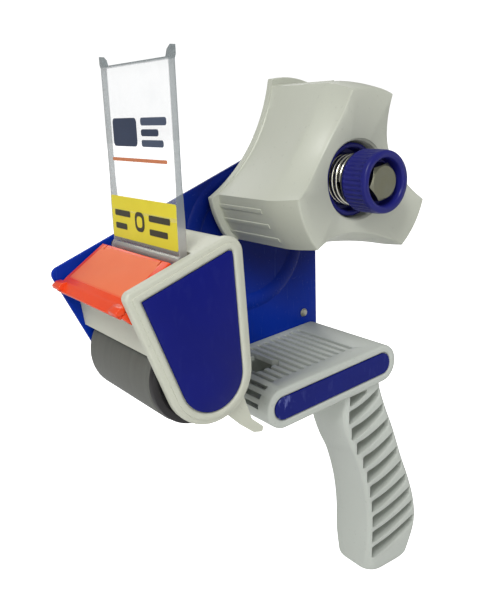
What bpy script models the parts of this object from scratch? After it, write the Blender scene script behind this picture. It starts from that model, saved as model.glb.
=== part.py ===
# Tape gun dispenser: a steel side plate carries a head with roller, blade, guard and
# flap, a braked hub for a 76 mm tape core, and a slotted deck with a pistol grip.
# Lengths below are millimetres in the hub frame: the hub axis is X = Z = 0 and runs
# along Y, the near face of the side plate is Y = 0, near is -Y, the front is -X.
# The finished model is in metres with its origin at the middle of the grip.
import math

import bmesh
import bpy
from mathutils import Matrix, Vector

# ---------------------------------------------------------------- driving dimensions
tape_width = 50.0
core_radius = 38.0            # inside radius of a 3 inch tape core
tape_side_play = 2.0          # free space each side of the tape
fit_gap = 0.3                 # between pieces that touch
run_gap = 0.4                 # between a turning piece and what it turns on or in

plate_thickness = 1.6
plate_front = -108.5          # front tip of the plate
plate_front_z = -27.8
plate_rear = 21.7             # upright rear edge
plate_rear_top = 23.4
plate_bottom = -77.8          # lower edge under the head
bead_centre = (-18.5, -27.5)
bead_inner = 24.5
bead_outer = 32.0
bead_height = 0.9
pad_radius = 12.0             # flat pad round the spindle
pad_height = 1.3

cheek_thickness = 4.0
cheek_rim = 4.4               # width of the raised rim
panel_depth = 1.1             # how deep the blue panels are let in
panel_thickness = 0.8
cheek_top = (-67.6, -19.0, 6.0)       # x, z, radius of the three corners
cheek_tip = (-103.8, -28.2, 2.6)
roller_x = -79.4
roller_z = -60.6
roller_radius = 17.7
rubber_thickness = 3.5
axle_radius = 3.0
axle_nut_flats = 10.0
axle_nut_height = 5.0
cheek_foot = (roller_x + 2.9, roller_z, roller_radius - 0.7)

guard_top_x = -87.0           # upper rear edge of the guard
guard_top_z = -19.3
guard_slope = 34.0            # degrees below level, towards the front
guard_length = 21.0           # along the slope to the ridge of the lip
guard_thickness = 1.8
guard_drop = 5.2              # from the guard's top face down to the blade's top face
lip_reach = 3.0
lip_drop = 4.0
pin_radius = 1.0
spring_thin = 0.6             # wire of the guard's torsion spring
spring_coil = pin_radius + 0.15 + spring_thin / 2     # middle of that wire
knuckle_radius = pin_radius + 1.3
blade_thickness = 0.7
blade_length = 13.0
blade_screw_radius = 1.3
tooth_pitch = 2.0
tooth_depth = 1.6
shelf_thickness = 2.4
wall_thickness = 1.8
cover_thickness = 2.4

flap_x = -81.6                # middle of the flap's thickness
flap_pin_z = -20.6
flap_pin_radius = 1.2
flap_top = 44.0
flap_thin = 2.1
flap_thick = 2.8
flap_border = 2.6             # from the cheek to the flap's near edge
ear_height = 3.4

hub_phase = 84.9              # direction of the first lobe, degrees from +X to +Z
hub_far = -4.9
hub_length = tape_width
hub_near = hub_far - hub_length
lobe_width = 21.7
lobe_radius = core_radius - fit_gap
lobe_near_radius = lobe_radius - 2.6
hub_taper = 12.8              # length of the tapered near end
hub_rim = 3.2                 # how far the far rim stands out past a lobe
rim_near = hub_far - 1.6      # the rim's flat near face
rim_far = hub_far + 1.5
boss_far = hub_far + 1.3
rim_fillet = 0.6              # between the rim's flat near face and the lobes
hub_wall = 2.6
# Radius half way between lobes at the far end, the start of the taper and the near end.
web_far, web_mid, web_near = [lobe_radius * share for share in (0.584, 0.676, 0.557)]
web_dip = 5.5                 # how far the near edge dips between lobes
hub_ribs = 3
rib_spread = 9.5              # degrees between ribs
rib_width = 1.6
boss_wall = 2.6

spindle_radius = 4.0          # M8
spindle_nut_height = 6.5
nut_flange_radius = spindle_radius + 5.5
hub_washer_radius = spindle_radius + 5.0
hex_flats = spindle_radius * 3.25
hex_height = 5.2
bush_radius = spindle_radius + 2.5
knob_recess = hex_flats / math.sqrt(3) + 1.5
knob_radius = knob_recess + 3.1
knob_length = 12.6
head_sink = 1.4               # how deep the bolt head sits in the knob
flute_depth = 0.4
knob_flutes = 30
knob_rear = hub_near + 2.3
cup_radius = knob_radius + 2.25
cup_wall = 2.0
cup_height = 8.3
recess_radius = cup_radius + 0.85
recess_floor = hub_near + 16.6
spring_radius = knob_radius - 2.5     # middle of the wire
spring_wire = 1.6
washer_radius = spring_radius + 1.2
washer_thickness = 1.3
spring_turns = 3.5

deck_centre = (-11.0, -83.3)
deck_tilt = 5.2               # degrees, rear end up
deck_length = 71.6
deck_height = 16.8
deck_corner = 8.1
deck_width = tape_width - 1.3
deck_wall = 2.4
deck_rim = 3.4
slot_count = 12
slot_pitch = 3.95
slot_width = 1.7
slot_near_border = 8.6
slot_far_border = 4.0
nose_slots = 3

grip_root = deck_height / 2 - deck_centre[1]  # depth of the deck's underside
grip_near = 1.4 - fit_gap - deck_width
grip_width = 23.6
grip_length = 91.0            # from the deck to the start of the rounded foot
grip_corner = 2.4
grip_foot = 5.8
grip_pockets = 11
pocket_first = 1.8            # middle of the first pocket below the deck
pocket_pitch = 8.1
pocket_height = 6.2           # at the front; it narrows towards the rear
pocket_narrowing = 0.22
pocket_rise = 7.2
pocket_depth = 10.2
pocket_wall = 2.3

screw_radius = 1.8
screw_head = 3.4
boss_hole = -13.0             # how far in the plate screws' holes go
hold_point = (30.5, 46.3)     # middle of the grip, behind and below the deck's middle

# ------------------------------------------------------------------- derived values
inner_width = tape_width + 2 * tape_side_play
cheek_inner = -inner_width
cheek_outer = cheek_inner - cheek_thickness
plate_far = plate_thickness
hub_kink = hub_near + hub_taper
slope = math.radians(guard_slope)
slope_dir = Vector((-math.cos(slope), 0, -math.sin(slope)))
slope_up = Vector((-math.sin(slope), 0, math.cos(slope)))
guard_top = Vector((guard_top_x, 0, guard_top_z))
grip_middle = Vector((deck_centre[0] + hold_point[0], grip_near + grip_width / 2,
                      -grip_root - hold_point[1]))
pin_near = cheek_outer + panel_depth + 1.3    # pins and the axle end inside the cheek


def on_slope(along, down, y=0.0):
    """Point at a distance along the guard's slope and below its top face."""
    point = guard_top + slope_dir * along - slope_up * down
    return Vector((point.x, y, point.z))


guard_pin = on_slope(1.6, guard_thickness + spring_coil + spring_thin / 2 + 0.25)


# ---------------------------------------------------------------------- scene set-up
def clear_scene():
    for thing in list(bpy.data.objects):
        bpy.data.objects.remove(thing, do_unlink=True)


def finish(name, rgb, roughness, metallic=0.0):
    material = bpy.data.materials.new(name)
    material.use_nodes = True
    shader = material.node_tree.nodes["Principled BSDF"]
    shader.inputs["Base Color"].default_value = (*rgb, 1.0)
    shader.inputs["Roughness"].default_value = roughness
    shader.inputs["Metallic"].default_value = metallic
    return material


def add_part(name, mesh_bm, look, pivot=(0, 0, 0), smooth=40.0):
    """Make an object whose origin is the pivot, from a bmesh drawn in millimetres."""
    centre = Vector(pivot)
    bmesh.ops.transform(mesh_bm, matrix=Matrix.Translation(-centre), verts=mesh_bm.verts)
    bmesh.ops.scale(mesh_bm, vec=(0.001, 0.001, 0.001), verts=mesh_bm.verts)
    mesh = bpy.data.meshes.new(name)
    mesh_bm.to_mesh(mesh)
    mesh_bm.free()
    mesh.materials.append(finish(name + "_finish", *look))
    mesh.shade_smooth()
    mesh.set_sharp_from_angle(angle=math.radians(smooth))
    part = bpy.data.objects.new(name, mesh)
    bpy.context.collection.objects.link(part)
    part.location = centre * 0.001
    part.parent = origin_empty
    return part


# ------------------------------------------------------------------------ 2D outlines
def arc(cx, cz, radius, start, end, steps):
    """Points on an arc, angles in degrees."""
    points = []
    for i in range(steps + 1):
        a = math.radians(start + (end - start) * i / steps)
        points.append((cx + radius * math.cos(a), cz + radius * math.sin(a)))
    return points


def circle(cx, cz, radius, steps):
    return arc(cx, cz, radius, 0, 360, steps)[:-1]


def hull_outline(corners, steps=6, inset=0.0):
    """Outline round three or more circles (x, z, r), listed anticlockwise."""
    corners = [(x, z, r - inset) for x, z, r in corners]
    count = len(corners)
    normals = []
    for i in range(count):
        x0, z0, r0 = corners[i]
        x1, z1, r1 = corners[(i + 1) % count]
        span = math.hypot(x1 - x0, z1 - z0)
        normals.append(math.atan2(z1 - z0, x1 - x0) - math.acos((r0 - r1) / span))
    points = []
    for i in range(count):
        x, z, r = corners[i]
        first = normals[i - 1]
        last = normals[i]
        while last < first:
            last += 2 * math.pi
        if r <= 0.2:
            # The inset has eaten this corner: the two sides meet in a point.
            middle = (first + last) / 2
            reach = r / math.cos((last - first) / 2)
            points.append((x + reach * math.cos(middle), z + reach * math.sin(middle)))
            continue
        points += arc(x, z, r, math.degrees(first), math.degrees(last), steps)
    return points


def rounded(points, steps=5):
    """Outline of a polygon of (x, z, corner radius) with its corners rounded."""
    outline = []
    count = len(points)
    for i in range(count):
        x, z, r = points[i]
        here = Vector((x, z))
        before = (Vector(points[i - 1][:2]) - here).normalized()
        after = (Vector(points[(i + 1) % count][:2]) - here).normalized()
        if r <= 0:
            outline.append((x, z))
            continue
        half = before.angle(after) / 2
        centre = here + (before + after).normalized() * (r / math.sin(half))
        start = here + before * (r / math.tan(half)) - centre
        end = here + after * (r / math.tan(half)) - centre
        a0 = math.atan2(start.y, start.x)
        turn = math.atan2(end.y, end.x) - a0
        turn = (turn + math.pi) % (2 * math.pi) - math.pi
        outline += arc(centre.x, centre.y, r, math.degrees(a0),
                       math.degrees(a0 + turn), steps)
    return outline


def ribbon(path, thickness, end_thickness=None):
    """Closed outline of a strip that follows a path of (x, z) points."""
    end_thickness = end_thickness or thickness
    left = []
    right = []
    last = len(path) - 1
    for i, point in enumerate(path):
        here = Vector(point)
        back = Vector(path[max(i - 1, 0)])
        ahead = Vector(path[min(i + 1, last)])
        along_in = (here - back).normalized() if i > 0 else (ahead - here).normalized()
        along_out = (ahead - here).normalized() if i < last else along_in
        side_in = Vector((-along_in.y, along_in.x))
        side_out = Vector((-along_out.y, along_out.x))
        side = (side_in + side_out).normalized()
        width = (thickness + (end_thickness - thickness) * i / last) / 2
        offset = side * (width / max(side.dot(side_in), 0.5))
        left.append(tuple(here + offset))
        right.append(tuple(here - offset))
    return left + right[::-1]


# ---------------------------------------------------------------------- 3D primitives
def loft(rings):
    """Closed body through rings of points, with flat caps on the two ends."""
    bm = bmesh.new()
    rows = []
    for ring in rings:
        rows.append([bm.verts.new(point) for point in ring])
    count = len(rings[0])
    for a, b in zip(rows[:-1], rows[1:]):
        for i in range(count):
            j = (i + 1) % count
            bm.faces.new((a[i], a[j], b[j], b[i]))
    bm.faces.new(rows[0])
    bm.faces.new(rows[-1][::-1])
    bmesh.ops.recalc_face_normals(bm, faces=bm.faces)
    return bm


def prism(outline, y0, y1):
    return loft([[(x, y, z) for x, z in outline] for y in (y0, y1)])


def turned(profile, steps, cx=0.0, cz=0.0):
    """Ring-shaped body turned about a Y axis from a closed profile of (radius, y)."""
    bm = bmesh.new()
    rows = []
    for i in range(steps):
        a = 2 * math.pi * i / steps
        rows.append([bm.verts.new((cx + r * math.cos(a), y, cz + r * math.sin(a)))
                     for r, y in profile])
    count = len(profile)
    for i in range(steps):
        a = rows[i]
        b = rows[(i + 1) % steps]
        for k in range(count):
            m = (k + 1) % count
            bm.faces.new((a[k], a[m], b[m], b[k]))
    bmesh.ops.recalc_face_normals(bm, faces=bm.faces)
    return bm


def round_bar(profile, steps, cx=0.0, cz=0.0):
    """Solid round body along Y from (radius, y) pairs, with flat ends."""
    return loft([[(x, y, z) for x, z in circle(cx, cz, r, steps)] for r, y in profile])


def rod(radius, y0, y1, cx=0.0, cz=0.0, steps=20, chamfer=0.0):
    """Plain round bar along Y; the chamfer is at both ends."""
    low, high = min(y0, y1), max(y0, y1)
    sizes = [(radius, low), (radius, high)]
    if chamfer:
        sizes = [(radius - chamfer, low), (radius, low + chamfer),
                 (radius, high - chamfer), (radius - chamfer, high)]
    return round_bar(sizes, steps, cx, cz)


def tube(path, radius, sides=8):
    """Round wire along a list of points."""
    rings = []
    up = Vector((0, 1, 0))
    for i, point in enumerate(path):
        ahead = path[min(i + 1, len(path) - 1)]
        back = path[max(i - 1, 0)]
        along = (Vector(ahead) - Vector(back)).normalized()
        side = along.cross(up)
        if side.length < 1e-3:
            side = along.cross(Vector((0, 0, 1)))
        side.normalize()
        across = side.cross(along)
        rings.append([Vector(point) + side * (radius * math.cos(2 * math.pi * k / sides))
                      + across * (radius * math.sin(2 * math.pi * k / sides))
                      for k in range(sides)])
    return loft(rings)


def block(low, high):
    bm = bmesh.new()
    bmesh.ops.create_cube(bm, size=1.0)
    size = [h - l for l, h in zip(low, high)]
    middle = [(l + h) / 2 for l, h in zip(low, high)]
    bmesh.ops.scale(bm, vec=size, verts=bm.verts)
    bmesh.ops.translate(bm, vec=middle, verts=bm.verts)
    return bm


def joined(*bodies):
    """Several separate bodies in one bmesh."""
    whole = bmesh.new()
    for body in bodies:
        mesh = bpy.data.meshes.new("joined")
        body.to_mesh(mesh)
        whole.from_mesh(mesh)
        bpy.data.meshes.remove(mesh)
        body.free()
    return whole


def combine(target, tool, operation):
    """Exact Boolean of two bmeshes; both are used up."""
    things = []
    for label, body in (("target", target), ("tool", tool)):
        mesh = bpy.data.meshes.new(label)
        body.to_mesh(mesh)
        body.free()
        thing = bpy.data.objects.new(label, mesh)
        bpy.context.collection.objects.link(thing)
        things.append(thing)
    modifier = things[0].modifiers.new("combine", "BOOLEAN")
    modifier.operation = operation
    modifier.solver = "EXACT"
    modifier.object = things[1]
    graph = bpy.context.evaluated_depsgraph_get()
    result = bmesh.new()
    result.from_mesh(things[0].evaluated_get(graph).to_mesh())
    for thing in things:
        mesh = thing.data
        bpy.data.objects.remove(thing, do_unlink=True)
        bpy.data.meshes.remove(mesh)
    bmesh.ops.remove_doubles(result, verts=result.verts, dist=0.00002)
    return result


def cut(target, *tools):
    for tool in tools:
        target = combine(target, tool, "DIFFERENCE")
    return target


def fuse(target, *tools):
    for tool in tools:
        target = combine(target, tool, "UNION")
    return target


# ----------------------------------------------------------------------- shared shapes
def cheek_corners():
    return [cheek_foot, cheek_top, cheek_tip]


def deck_point(along, up):
    """Point of the tilted deck section, measured from the deck's centre."""
    a = math.radians(deck_tilt)
    return (deck_centre[0] + along * math.cos(a) - up * math.sin(a),
            deck_centre[1] + along * math.sin(a) + up * math.cos(a))


def deck_outline(inset=0.0, steps=7):
    half_x = deck_length / 2 - inset
    half_z = deck_height / 2 - inset
    r = deck_corner - inset
    flat = rounded([(-half_x, -half_z, r), (half_x, -half_z, r),
                    (half_x, half_z, r), (-half_x, half_z, r)], steps)
    return [deck_point(x, z) for x, z in flat]


def deck_screw_alongs():
    return (-deck_length / 2 + deck_corner + 3.5, deck_length / 2 - deck_corner - 2.5)


def deck_screw_places():
    return [deck_point(along, 0) for along in deck_screw_alongs()]


def housing_screw_places():
    front = on_slope(guard_length - 6.5, guard_drop + blade_thickness + 4.4)
    return [(cheek_top[0], cheek_top[1]), (front.x, front.z)]


def plate_rivet_place():
    x, z = deck_point(deck_length / 2 - deck_corner - 2.0, deck_height / 2 + 5.6)
    return x, z


# ------------------------------------------------------------------------- side plate
def build_side_plate():
    deck_low = -deck_height / 2 + 1.2
    outline = rounded([
        (plate_front, plate_front_z, 3.0),
        (roller_x - 5.8, plate_bottom, 15.0),
        (cheek_foot[0] + cheek_foot[2] + 1.5, plate_bottom, 6.0),
        (*deck_point(-deck_length / 2 + 5.0, deck_low), 4.0),
        (plate_rear, deck_point(deck_length / 2 - 3.0, deck_low)[1], 5.0),
        (plate_rear, plate_rear_top, 16.0),
    ])
    plate = prism(outline, 0.0, plate_far)
    crest = 1.4
    bead = turned([(bead_inner, 0.2), (bead_inner + crest, -bead_height),
                   (bead_outer - crest, -bead_height), (bead_outer, 0.2)],
                  44, *bead_centre)
    groove = turned([(bead_inner + 0.8, plate_far + 0.3),
                     (bead_inner + crest + 0.6, plate_far - bead_height),
                     (bead_outer - crest - 0.6, plate_far - bead_height),
                     (bead_outer - 0.8, plate_far + 0.3)], 44, *bead_centre)
    pad = rod(pad_radius, -pad_height, 0.2, steps=28)
    plate = fuse(plate, bead, pad)
    plate = cut(plate, groove)
    back_pad = rod(pad_radius - 1.0, plate_far - 0.9, plate_far, steps=28)
    plate = fuse(plate, back_pad)
    holes = [rod(spindle_radius + fit_gap, -5, 5),
             rod(axle_radius + fit_gap, -5, 5, roller_x, roller_z),
             rod(pin_radius + fit_gap, -5, 5, guard_pin.x, guard_pin.z, 12),
             rod(flap_pin_radius + fit_gap, -5, 5, flap_x, flap_pin_z, 12),
             rod(screw_radius, -5, 5, *plate_rivet_place(), 12)]
    for x, z in deck_screw_places() + housing_screw_places():
        holes.append(rod(screw_radius + fit_gap, -5, 5, x, z, 16))
    plate = cut(plate, joined(*holes))
    add_part("side_plate", plate, ((0.004, 0.026, 0.24), 0.28, 0.1))
    x, z = plate_rivet_place()
    shank = screw_radius - fit_gap
    rivet = round_bar([(0.6, -1.2), (1.5, -1.0), (2.1, -0.4), (2.1, -fit_gap),
                       (shank, -fit_gap), (shank, plate_far + fit_gap),
                       (2.3, plate_far + fit_gap), (2.3, plate_far + 0.9)], 12, x, z)
    add_part("plate_rivet", rivet, ((0.6, 0.62, 0.64), 0.3, 1.0))


# ---------------------------------------------------------------------- front housing
def guide_path():
    """Middle line of the tape guide, from under the cheek to its free lip."""
    start_x = cheek_foot[0] + cheek_foot[2] - 4.2
    start_z = cheek_foot[1] - 12.0
    return [(start_x, start_z), (start_x + 0.3, start_z - 3.4),
            (start_x + 1.8, start_z - 7.4), (start_x + 4.4, start_z - 10.9),
            (start_x + 8.4, start_z - 14.0)]


def build_front_housing():
    corners = cheek_corners()
    body = prism(hull_outline(corners, 9), cheek_outer, cheek_inner)
    far = -fit_gap
    near = cheek_inner - 0.5
    # Top cover: along the upper edge, over the rear corner and down the back.
    top_x, top_z, top_r = cheek_top
    tip_x, tip_z, tip_r = cheek_tip
    lean = math.atan2(top_z - tip_z, top_x - tip_x) + math.asin(
        (top_r - tip_r) / math.hypot(top_x - tip_x, top_z - tip_z))
    radius = top_r - 0.7 - cover_thickness / 2
    bend = arc(top_x, top_z, radius, math.degrees(lean) + 90, 0, 7)
    front_x = flap_x + flap_thick / 2 + 1.3
    rise = (bend[0][0] - front_x) * math.tan(lean)
    path = [(front_x, bend[0][1] - rise)] + bend + [(bend[-1][0] + 0.5, bend[-1][1] - 9.0)]
    cover = prism(ribbon(path, cover_thickness), near, far)
    # Blade shelf and front wall.
    shelf_drop = guard_drop + blade_thickness + fit_gap + shelf_thickness / 2
    shelf_rear = on_slope(4.9, shelf_drop)
    shelf_front = on_slope(guard_length - 2.6, shelf_drop)
    wall_low_z = roller_z + 10.6
    wall_low_x = roller_x - math.sqrt((roller_radius + 0.8 + wall_thickness) ** 2 - 10.6 ** 2) + 0.9
    shelf = prism(ribbon([(shelf_rear.x, shelf_rear.z), (shelf_front.x, shelf_front.z)],
                         shelf_thickness), near, far)
    wall = prism(ribbon([(shelf_front.x + 0.6, shelf_front.z), (wall_low_x, wall_low_z)],
                        wall_thickness), near, far)
    # Tape guide across the width, with a side web at the near cheek.
    guide = prism(ribbon(guide_path(), 2.6, 2.0), near, far)
    gx, gz = guide_path()[0]
    web = prism(rounded([(gx - 7.0, gz - 1.0, 0.8), (gx - 5.4, gz - 5.0, 1.5),
                         (gx + 0.8, gz - 11.2, 1.0), (gx + 5.0, gz - 14.6, 1.0),
                         (gx + 9.0, gz - 15.6, 0.9), (gx + 9.6, gz - 13.6, 0.7),
                         (gx + 4.4, gz - 9.0, 1.5), (gx + 1.2, gz + 0.6, 1.0),
                         (gx - 2.0, gz + 3.6, 0.8)], 3), cheek_inner - 1.6, cheek_inner + 0.6)
    body = fuse(body, cover, shelf, wall, guide, web)
    bosses = [rod(3.4, -16.0, far, x, z, 20) for x, z in housing_screw_places()]
    for boss in bosses:
        body = fuse(body, boss)
    body = fuse(body, rod(axle_radius + 2.6, cheek_inner - 0.5, cheek_inner + 1.0,
                          roller_x, roller_z, 24))
    pocket = prism(hull_outline(corners, 9, cheek_rim), cheek_outer - 1,
                   cheek_outer + panel_depth)
    blind = pin_near - fit_gap
    holes = [rod(axle_radius + fit_gap, blind, 0, roller_x, roller_z),
             rod(pin_radius + fit_gap, blind, cheek_inner + 1, guard_pin.x, guard_pin.z, 12),
             rod(flap_pin_radius + fit_gap, blind, cheek_inner + 1, flap_x, flap_pin_z, 12)]
    for x, z in housing_screw_places():
        holes.append(rod(screw_radius + fit_gap, boss_hole, 1, x, z, 16))
    body = cut(body, pocket, joined(*holes))
    for y in blade_screw_y():
        at = on_slope(blade_hole_along(), 0, y)
        hole = rod(blade_screw_radius + fit_gap, -9, 9, steps=12)
        bmesh.ops.transform(hole, matrix=slope_matrix(at, guard_drop + 2.5), verts=hole.verts)
        body = cut(body, hole)
    add_part("front_housing", body, ((0.50, 0.51, 0.44), 0.42))
    panel = prism(hull_outline(corners, 9, cheek_rim + fit_gap),
                  cheek_outer + panel_depth - fit_gap - panel_thickness,
                  cheek_outer + panel_depth - fit_gap)
    add_part("cheek_panel", panel, ((0.010, 0.014, 0.16), 0.35))


# ------------------------------------------------------------------- blade and guard
def slope_matrix(at, down):
    """Turns a body drawn along Y so that it stands square on the guard's slope."""
    place = Vector(at) - slope_up * down
    across = slope_dir.cross(slope_up)
    turn = Matrix((slope_dir, slope_up, across)).transposed()
    return Matrix.Translation(place) @ turn.to_4x4()


def blade_screw_y():
    return (-inner_width * 0.24, -inner_width * 0.76)


def blade_hole_along():
    return guard_length - blade_length + 4.0


def build_blade():
    y_far = -tape_side_play - 0.6
    teeth = int((inner_width - 2 * tape_side_play - 1.2) / tooth_pitch)
    tip = guard_length
    root = tip - blade_length
    flat = [(root, y_far), (root, y_far - teeth * tooth_pitch)]
    for i in range(teeth):
        y = y_far - (teeth - i) * tooth_pitch
        flat.append((tip - tooth_depth, y))
        flat.append((tip, y + tooth_pitch / 2))
    flat.append((tip - tooth_depth, y_far))
    rings = []
    for down in (guard_drop, guard_drop + blade_thickness):
        rings.append([on_slope(along, down, y) for along, y in flat])
    blade = loft(rings)
    screws = []
    for y in blade_screw_y():
        at = on_slope(blade_hole_along(), 0, y)
        hole = rod(blade_screw_radius + fit_gap, -3, 3, steps=12)
        bmesh.ops.transform(hole, matrix=slope_matrix(at, guard_drop), verts=hole.verts)
        blade = cut(blade, hole)
        head = blade_screw_radius + 1.2
        screw = round_bar([(head - 0.9, 1.5), (head, 0.9), (head, fit_gap), (blade_screw_radius, fit_gap),
                           (blade_screw_radius, -blade_thickness - fit_gap - shelf_thickness),
                           (0.7, -4.0)], 12)
        bmesh.ops.transform(screw, matrix=slope_matrix(at, guard_drop), verts=screw.verts)
        screws.append(screw)
    add_part("blade", blade, ((0.55, 0.57, 0.60), 0.25, 1.0))
    for i, screw in enumerate(screws, 1):
        add_part(f"blade_screw_{i}", screw, ((0.5, 0.52, 0.54), 0.3, 1.0))


def build_guard():
    far = -tape_side_play + 0.2
    near = cheek_inner + 1.4
    half = guard_thickness / 2
    ridge = on_slope(guard_length, half)
    start = on_slope(0.4, half)
    lip = (ridge.x - lip_reach, ridge.z - lip_drop)
    sheet = prism(ribbon([(start.x, start.z), (ridge.x, ridge.z), lip], guard_thickness,
                         guard_thickness - 0.3), near, far)
    knuckle_far = prism(circle(guard_pin.x, guard_pin.z, knuckle_radius, 20), far - 15.0, far - 0.2)
    knuckle_near = prism(circle(guard_pin.x, guard_pin.z, knuckle_radius, 20), near + 0.2, near + 15.0)
    body = fuse(sheet, knuckle_far, knuckle_near)
    # Ears and thick corners of the lip.
    for y0, y1 in ((far - 5.0, far + 1.2), (near - 0.8, near + 5.0)):
        ear = prism(rounded([(ridge.x - 0.4, ridge.z + 0.8, 0.3), (ridge.x - 1.2, ridge.z - 1.6, 0.3),
                             (lip[0] - 1.2, lip[1] + 1.0, 0.4), (lip[0] - 1.6, lip[1] + 2.4, 0.6),
                             (ridge.x - 2.6, ridge.z + 0.6, 0.6)], 2), y0, y1)
        body = fuse(body, ear)
    slits = []
    for y in (far - 5.0, near + 5.0):
        low = on_slope(-1.0, guard_thickness + 0.4, y - 0.4)
        slit = block((low.x - 4.6, y - 0.4, low.z - 2.4), (low.x + 3.0, y + 0.4, low.z + 6.0))
        slits.append(slit)
    bore = rod(pin_radius + run_gap, near - 2, far + 2, guard_pin.x, guard_pin.z, 16)
    body = cut(body, joined(*slits), bore)
    add_part("blade_guard", body, ((0.72, 0.17, 0.06), 0.25), guard_pin)
    pin = rod(pin_radius, pin_near, plate_far, guard_pin.x, guard_pin.z, 14, 0.2)
    add_part("guard_pin", pin, ((0.6, 0.62, 0.64), 0.3, 1.0))
    # Torsion spring between the knuckles, with one leg under the guard and one on the shelf.
    coil_y = far - 19.0
    turns = 5.5
    leg = slope_dir
    first = guard_pin + slope_up * spring_coil + Vector((0, coil_y, 0))
    path = [first + leg * 9.0]
    steps = int(turns * 10)
    begin = math.atan2(slope_up.z, slope_up.x)
    for i in range(steps + 1):
        a = begin - 2 * math.pi * turns * i / steps
        y = coil_y - turns * (spring_thin + 0.15) * i / steps
        path.append(guard_pin + Vector((spring_coil * math.cos(a), y, spring_coil * math.sin(a))))
    path.append(path[-1] + leg * 4.8)
    add_part("guard_spring", tube(path, spring_thin / 2, 5), ((0.5, 0.5, 0.5), 0.3, 1.0))


# ----------------------------------------------------------------------------- flap
def build_flap():
    far = -tape_side_play - 0.8
    near = cheek_inner + flap_border
    rings = []
    for z, thick in ((flap_pin_z, flap_thick), (flap_pin_z + 14.0, flap_thick),
                     (flap_pin_z + 26.0, flap_thin), (flap_top, flap_thin)):
        rings.append([(flap_x - thick / 2, far, z), (flap_x - thick / 2, near, z),
                      (flap_x + thick / 2, near, z), (flap_x + thick / 2, far, z)])
    sheet = loft(rings)
    knuckle = rod(flap_pin_radius + run_gap + 0.9, near, far, flap_x, flap_pin_z, 20)
    body = fuse(sheet, knuckle)
    for edge, inward in ((far, -1), (near, 1)):
        outer = edge - inward * 0.9
        foot = edge + inward * 2.4
        ear = [(outer, flap_top + ear_height), (edge + inward * 1.2, flap_top + ear_height * 0.62),
               (foot, flap_top - 0.4), (edge, flap_top - 0.8), (outer, flap_top + 0.6)]
        rings = [[(x, y, z) for y, z in ear]
                 for x in (flap_x - flap_thin / 2 + 0.05, flap_x + flap_thin / 2 - 0.05)]
        body = fuse(body, loft(rings))
    bore = rod(flap_pin_radius + run_gap, near - 2, far + 2, flap_x, flap_pin_z, 16)
    body = cut(body, bore)
    add_part("flap", body, ((0.85, 0.87, 0.86), 0.08), (flap_x, 0, flap_pin_z))
    pin = rod(flap_pin_radius, pin_near, plate_far, flap_x, flap_pin_z, 14, 0.2)
    add_part("flap_pin", pin, ((0.6, 0.62, 0.64), 0.3, 1.0))


# --------------------------------------------------------------------------- roller
def build_roller():
    far = -tape_side_play - 1.2
    near = cheek_inner + 4.4
    inner = roller_radius - rubber_thickness
    chamfer = 0.8
    sleeve = turned([(inner, near), (roller_radius - chamfer, near), (roller_radius, near + chamfer),
                     (roller_radius, far - chamfer), (roller_radius - chamfer, far), (inner, far)],
                    40, roller_x, roller_z)
    at = (roller_x, 0, roller_z)
    add_part("roller_sleeve", sleeve, ((0.13, 0.135, 0.12), 0.7), at)
    bore = axle_radius + run_gap
    core_radius_out = inner - fit_gap
    flange = roller_radius - 0.6
    flange_near = cheek_inner + 1.6
    flange_far = near - fit_gap
    core = turned([(bore, flange_near), (flange - 0.6, flange_near), (flange, flange_near + 0.6),
                   (flange, flange_far), (core_radius_out, flange_far), (core_radius_out, far + 0.5),
                   (bore + 5.5, far + 0.5), (bore + 5.5, far - 4.0), (bore + 2.2, far - 4.0),
                   (bore + 2.2, far + 0.5), (bore, far + 0.5)], 36, roller_x, roller_z)
    add_part("roller_core", core, ((0.012, 0.011, 0.012), 0.45), at)
    thread_end = plate_far + fit_gap + axle_nut_height + 2.0
    axle = rod(axle_radius, pin_near, thread_end, roller_x, roller_z, 20, 0.4)
    add_part("roller_axle", axle, ((0.55, 0.57, 0.6), 0.3, 1.0))
    nut = hex_nut(axle_nut_flats, axle_radius + fit_gap, plate_far + fit_gap, axle_nut_height,
                  roller_x, roller_z)
    add_part("axle_nut", nut, ((0.6, 0.62, 0.64), 0.3, 1.0), smooth=20)


def hex_outline(flats, cx, cz, scale=1.0, turn=0.0):
    radius = flats / math.sqrt(3) * scale
    return [(cx + radius * math.cos(math.radians(60 * i + turn)),
             cz + radius * math.sin(math.radians(60 * i + turn))) for i in range(6)]


def hex_nut(flats, bore, y0, height, cx, cz):
    rings = []
    for y, scale in ((y0, 0.93), (y0 + 0.6, 1.0), (y0 + height - 0.6, 1.0), (y0 + height, 0.93)):
        rings.append([(x, y, z) for x, z in hex_outline(flats, cx, cz, scale)])
    return cut(loft(rings), rod(bore, y0 - 2, y0 + height + 2, cx, cz, 16))


# ------------------------------------------------------------------------------ hub
def hub_ring(radius, web, shrink=0.0, lobe_steps=4, web_steps=8):
    """Three-lobed outline: arcs on the lobe ends joined by hollow arcs between lobes."""
    outline = []
    radius -= shrink
    half = math.degrees(math.asin((lobe_width / 2 - shrink) / radius))
    web -= shrink
    for lobe in range(3):
        middle = hub_phase + 120 * lobe
        outline += arc(0, 0, radius, middle - half, middle + half, lobe_steps)
        # Hollow side through both lobe corners and the web's mid point.
        span = math.radians(60 - half)
        chord_half = radius * math.sin(span)
        sag = radius * math.cos(span) - web
        big = (chord_half ** 2 + sag ** 2) / (2 * sag)
        centre = web + big
        bisector = math.radians(middle + 60)
        opening = math.asin(chord_half / big)
        for i in range(1, web_steps):
            a = opening * (1 - 2 * i / web_steps)
            x = centre - big * math.cos(a)
            z = -big * math.sin(a)
            outline.append((x * math.cos(bisector) - z * math.sin(bisector),
                            x * math.sin(bisector) + z * math.cos(bisector)))
    return outline


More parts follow.
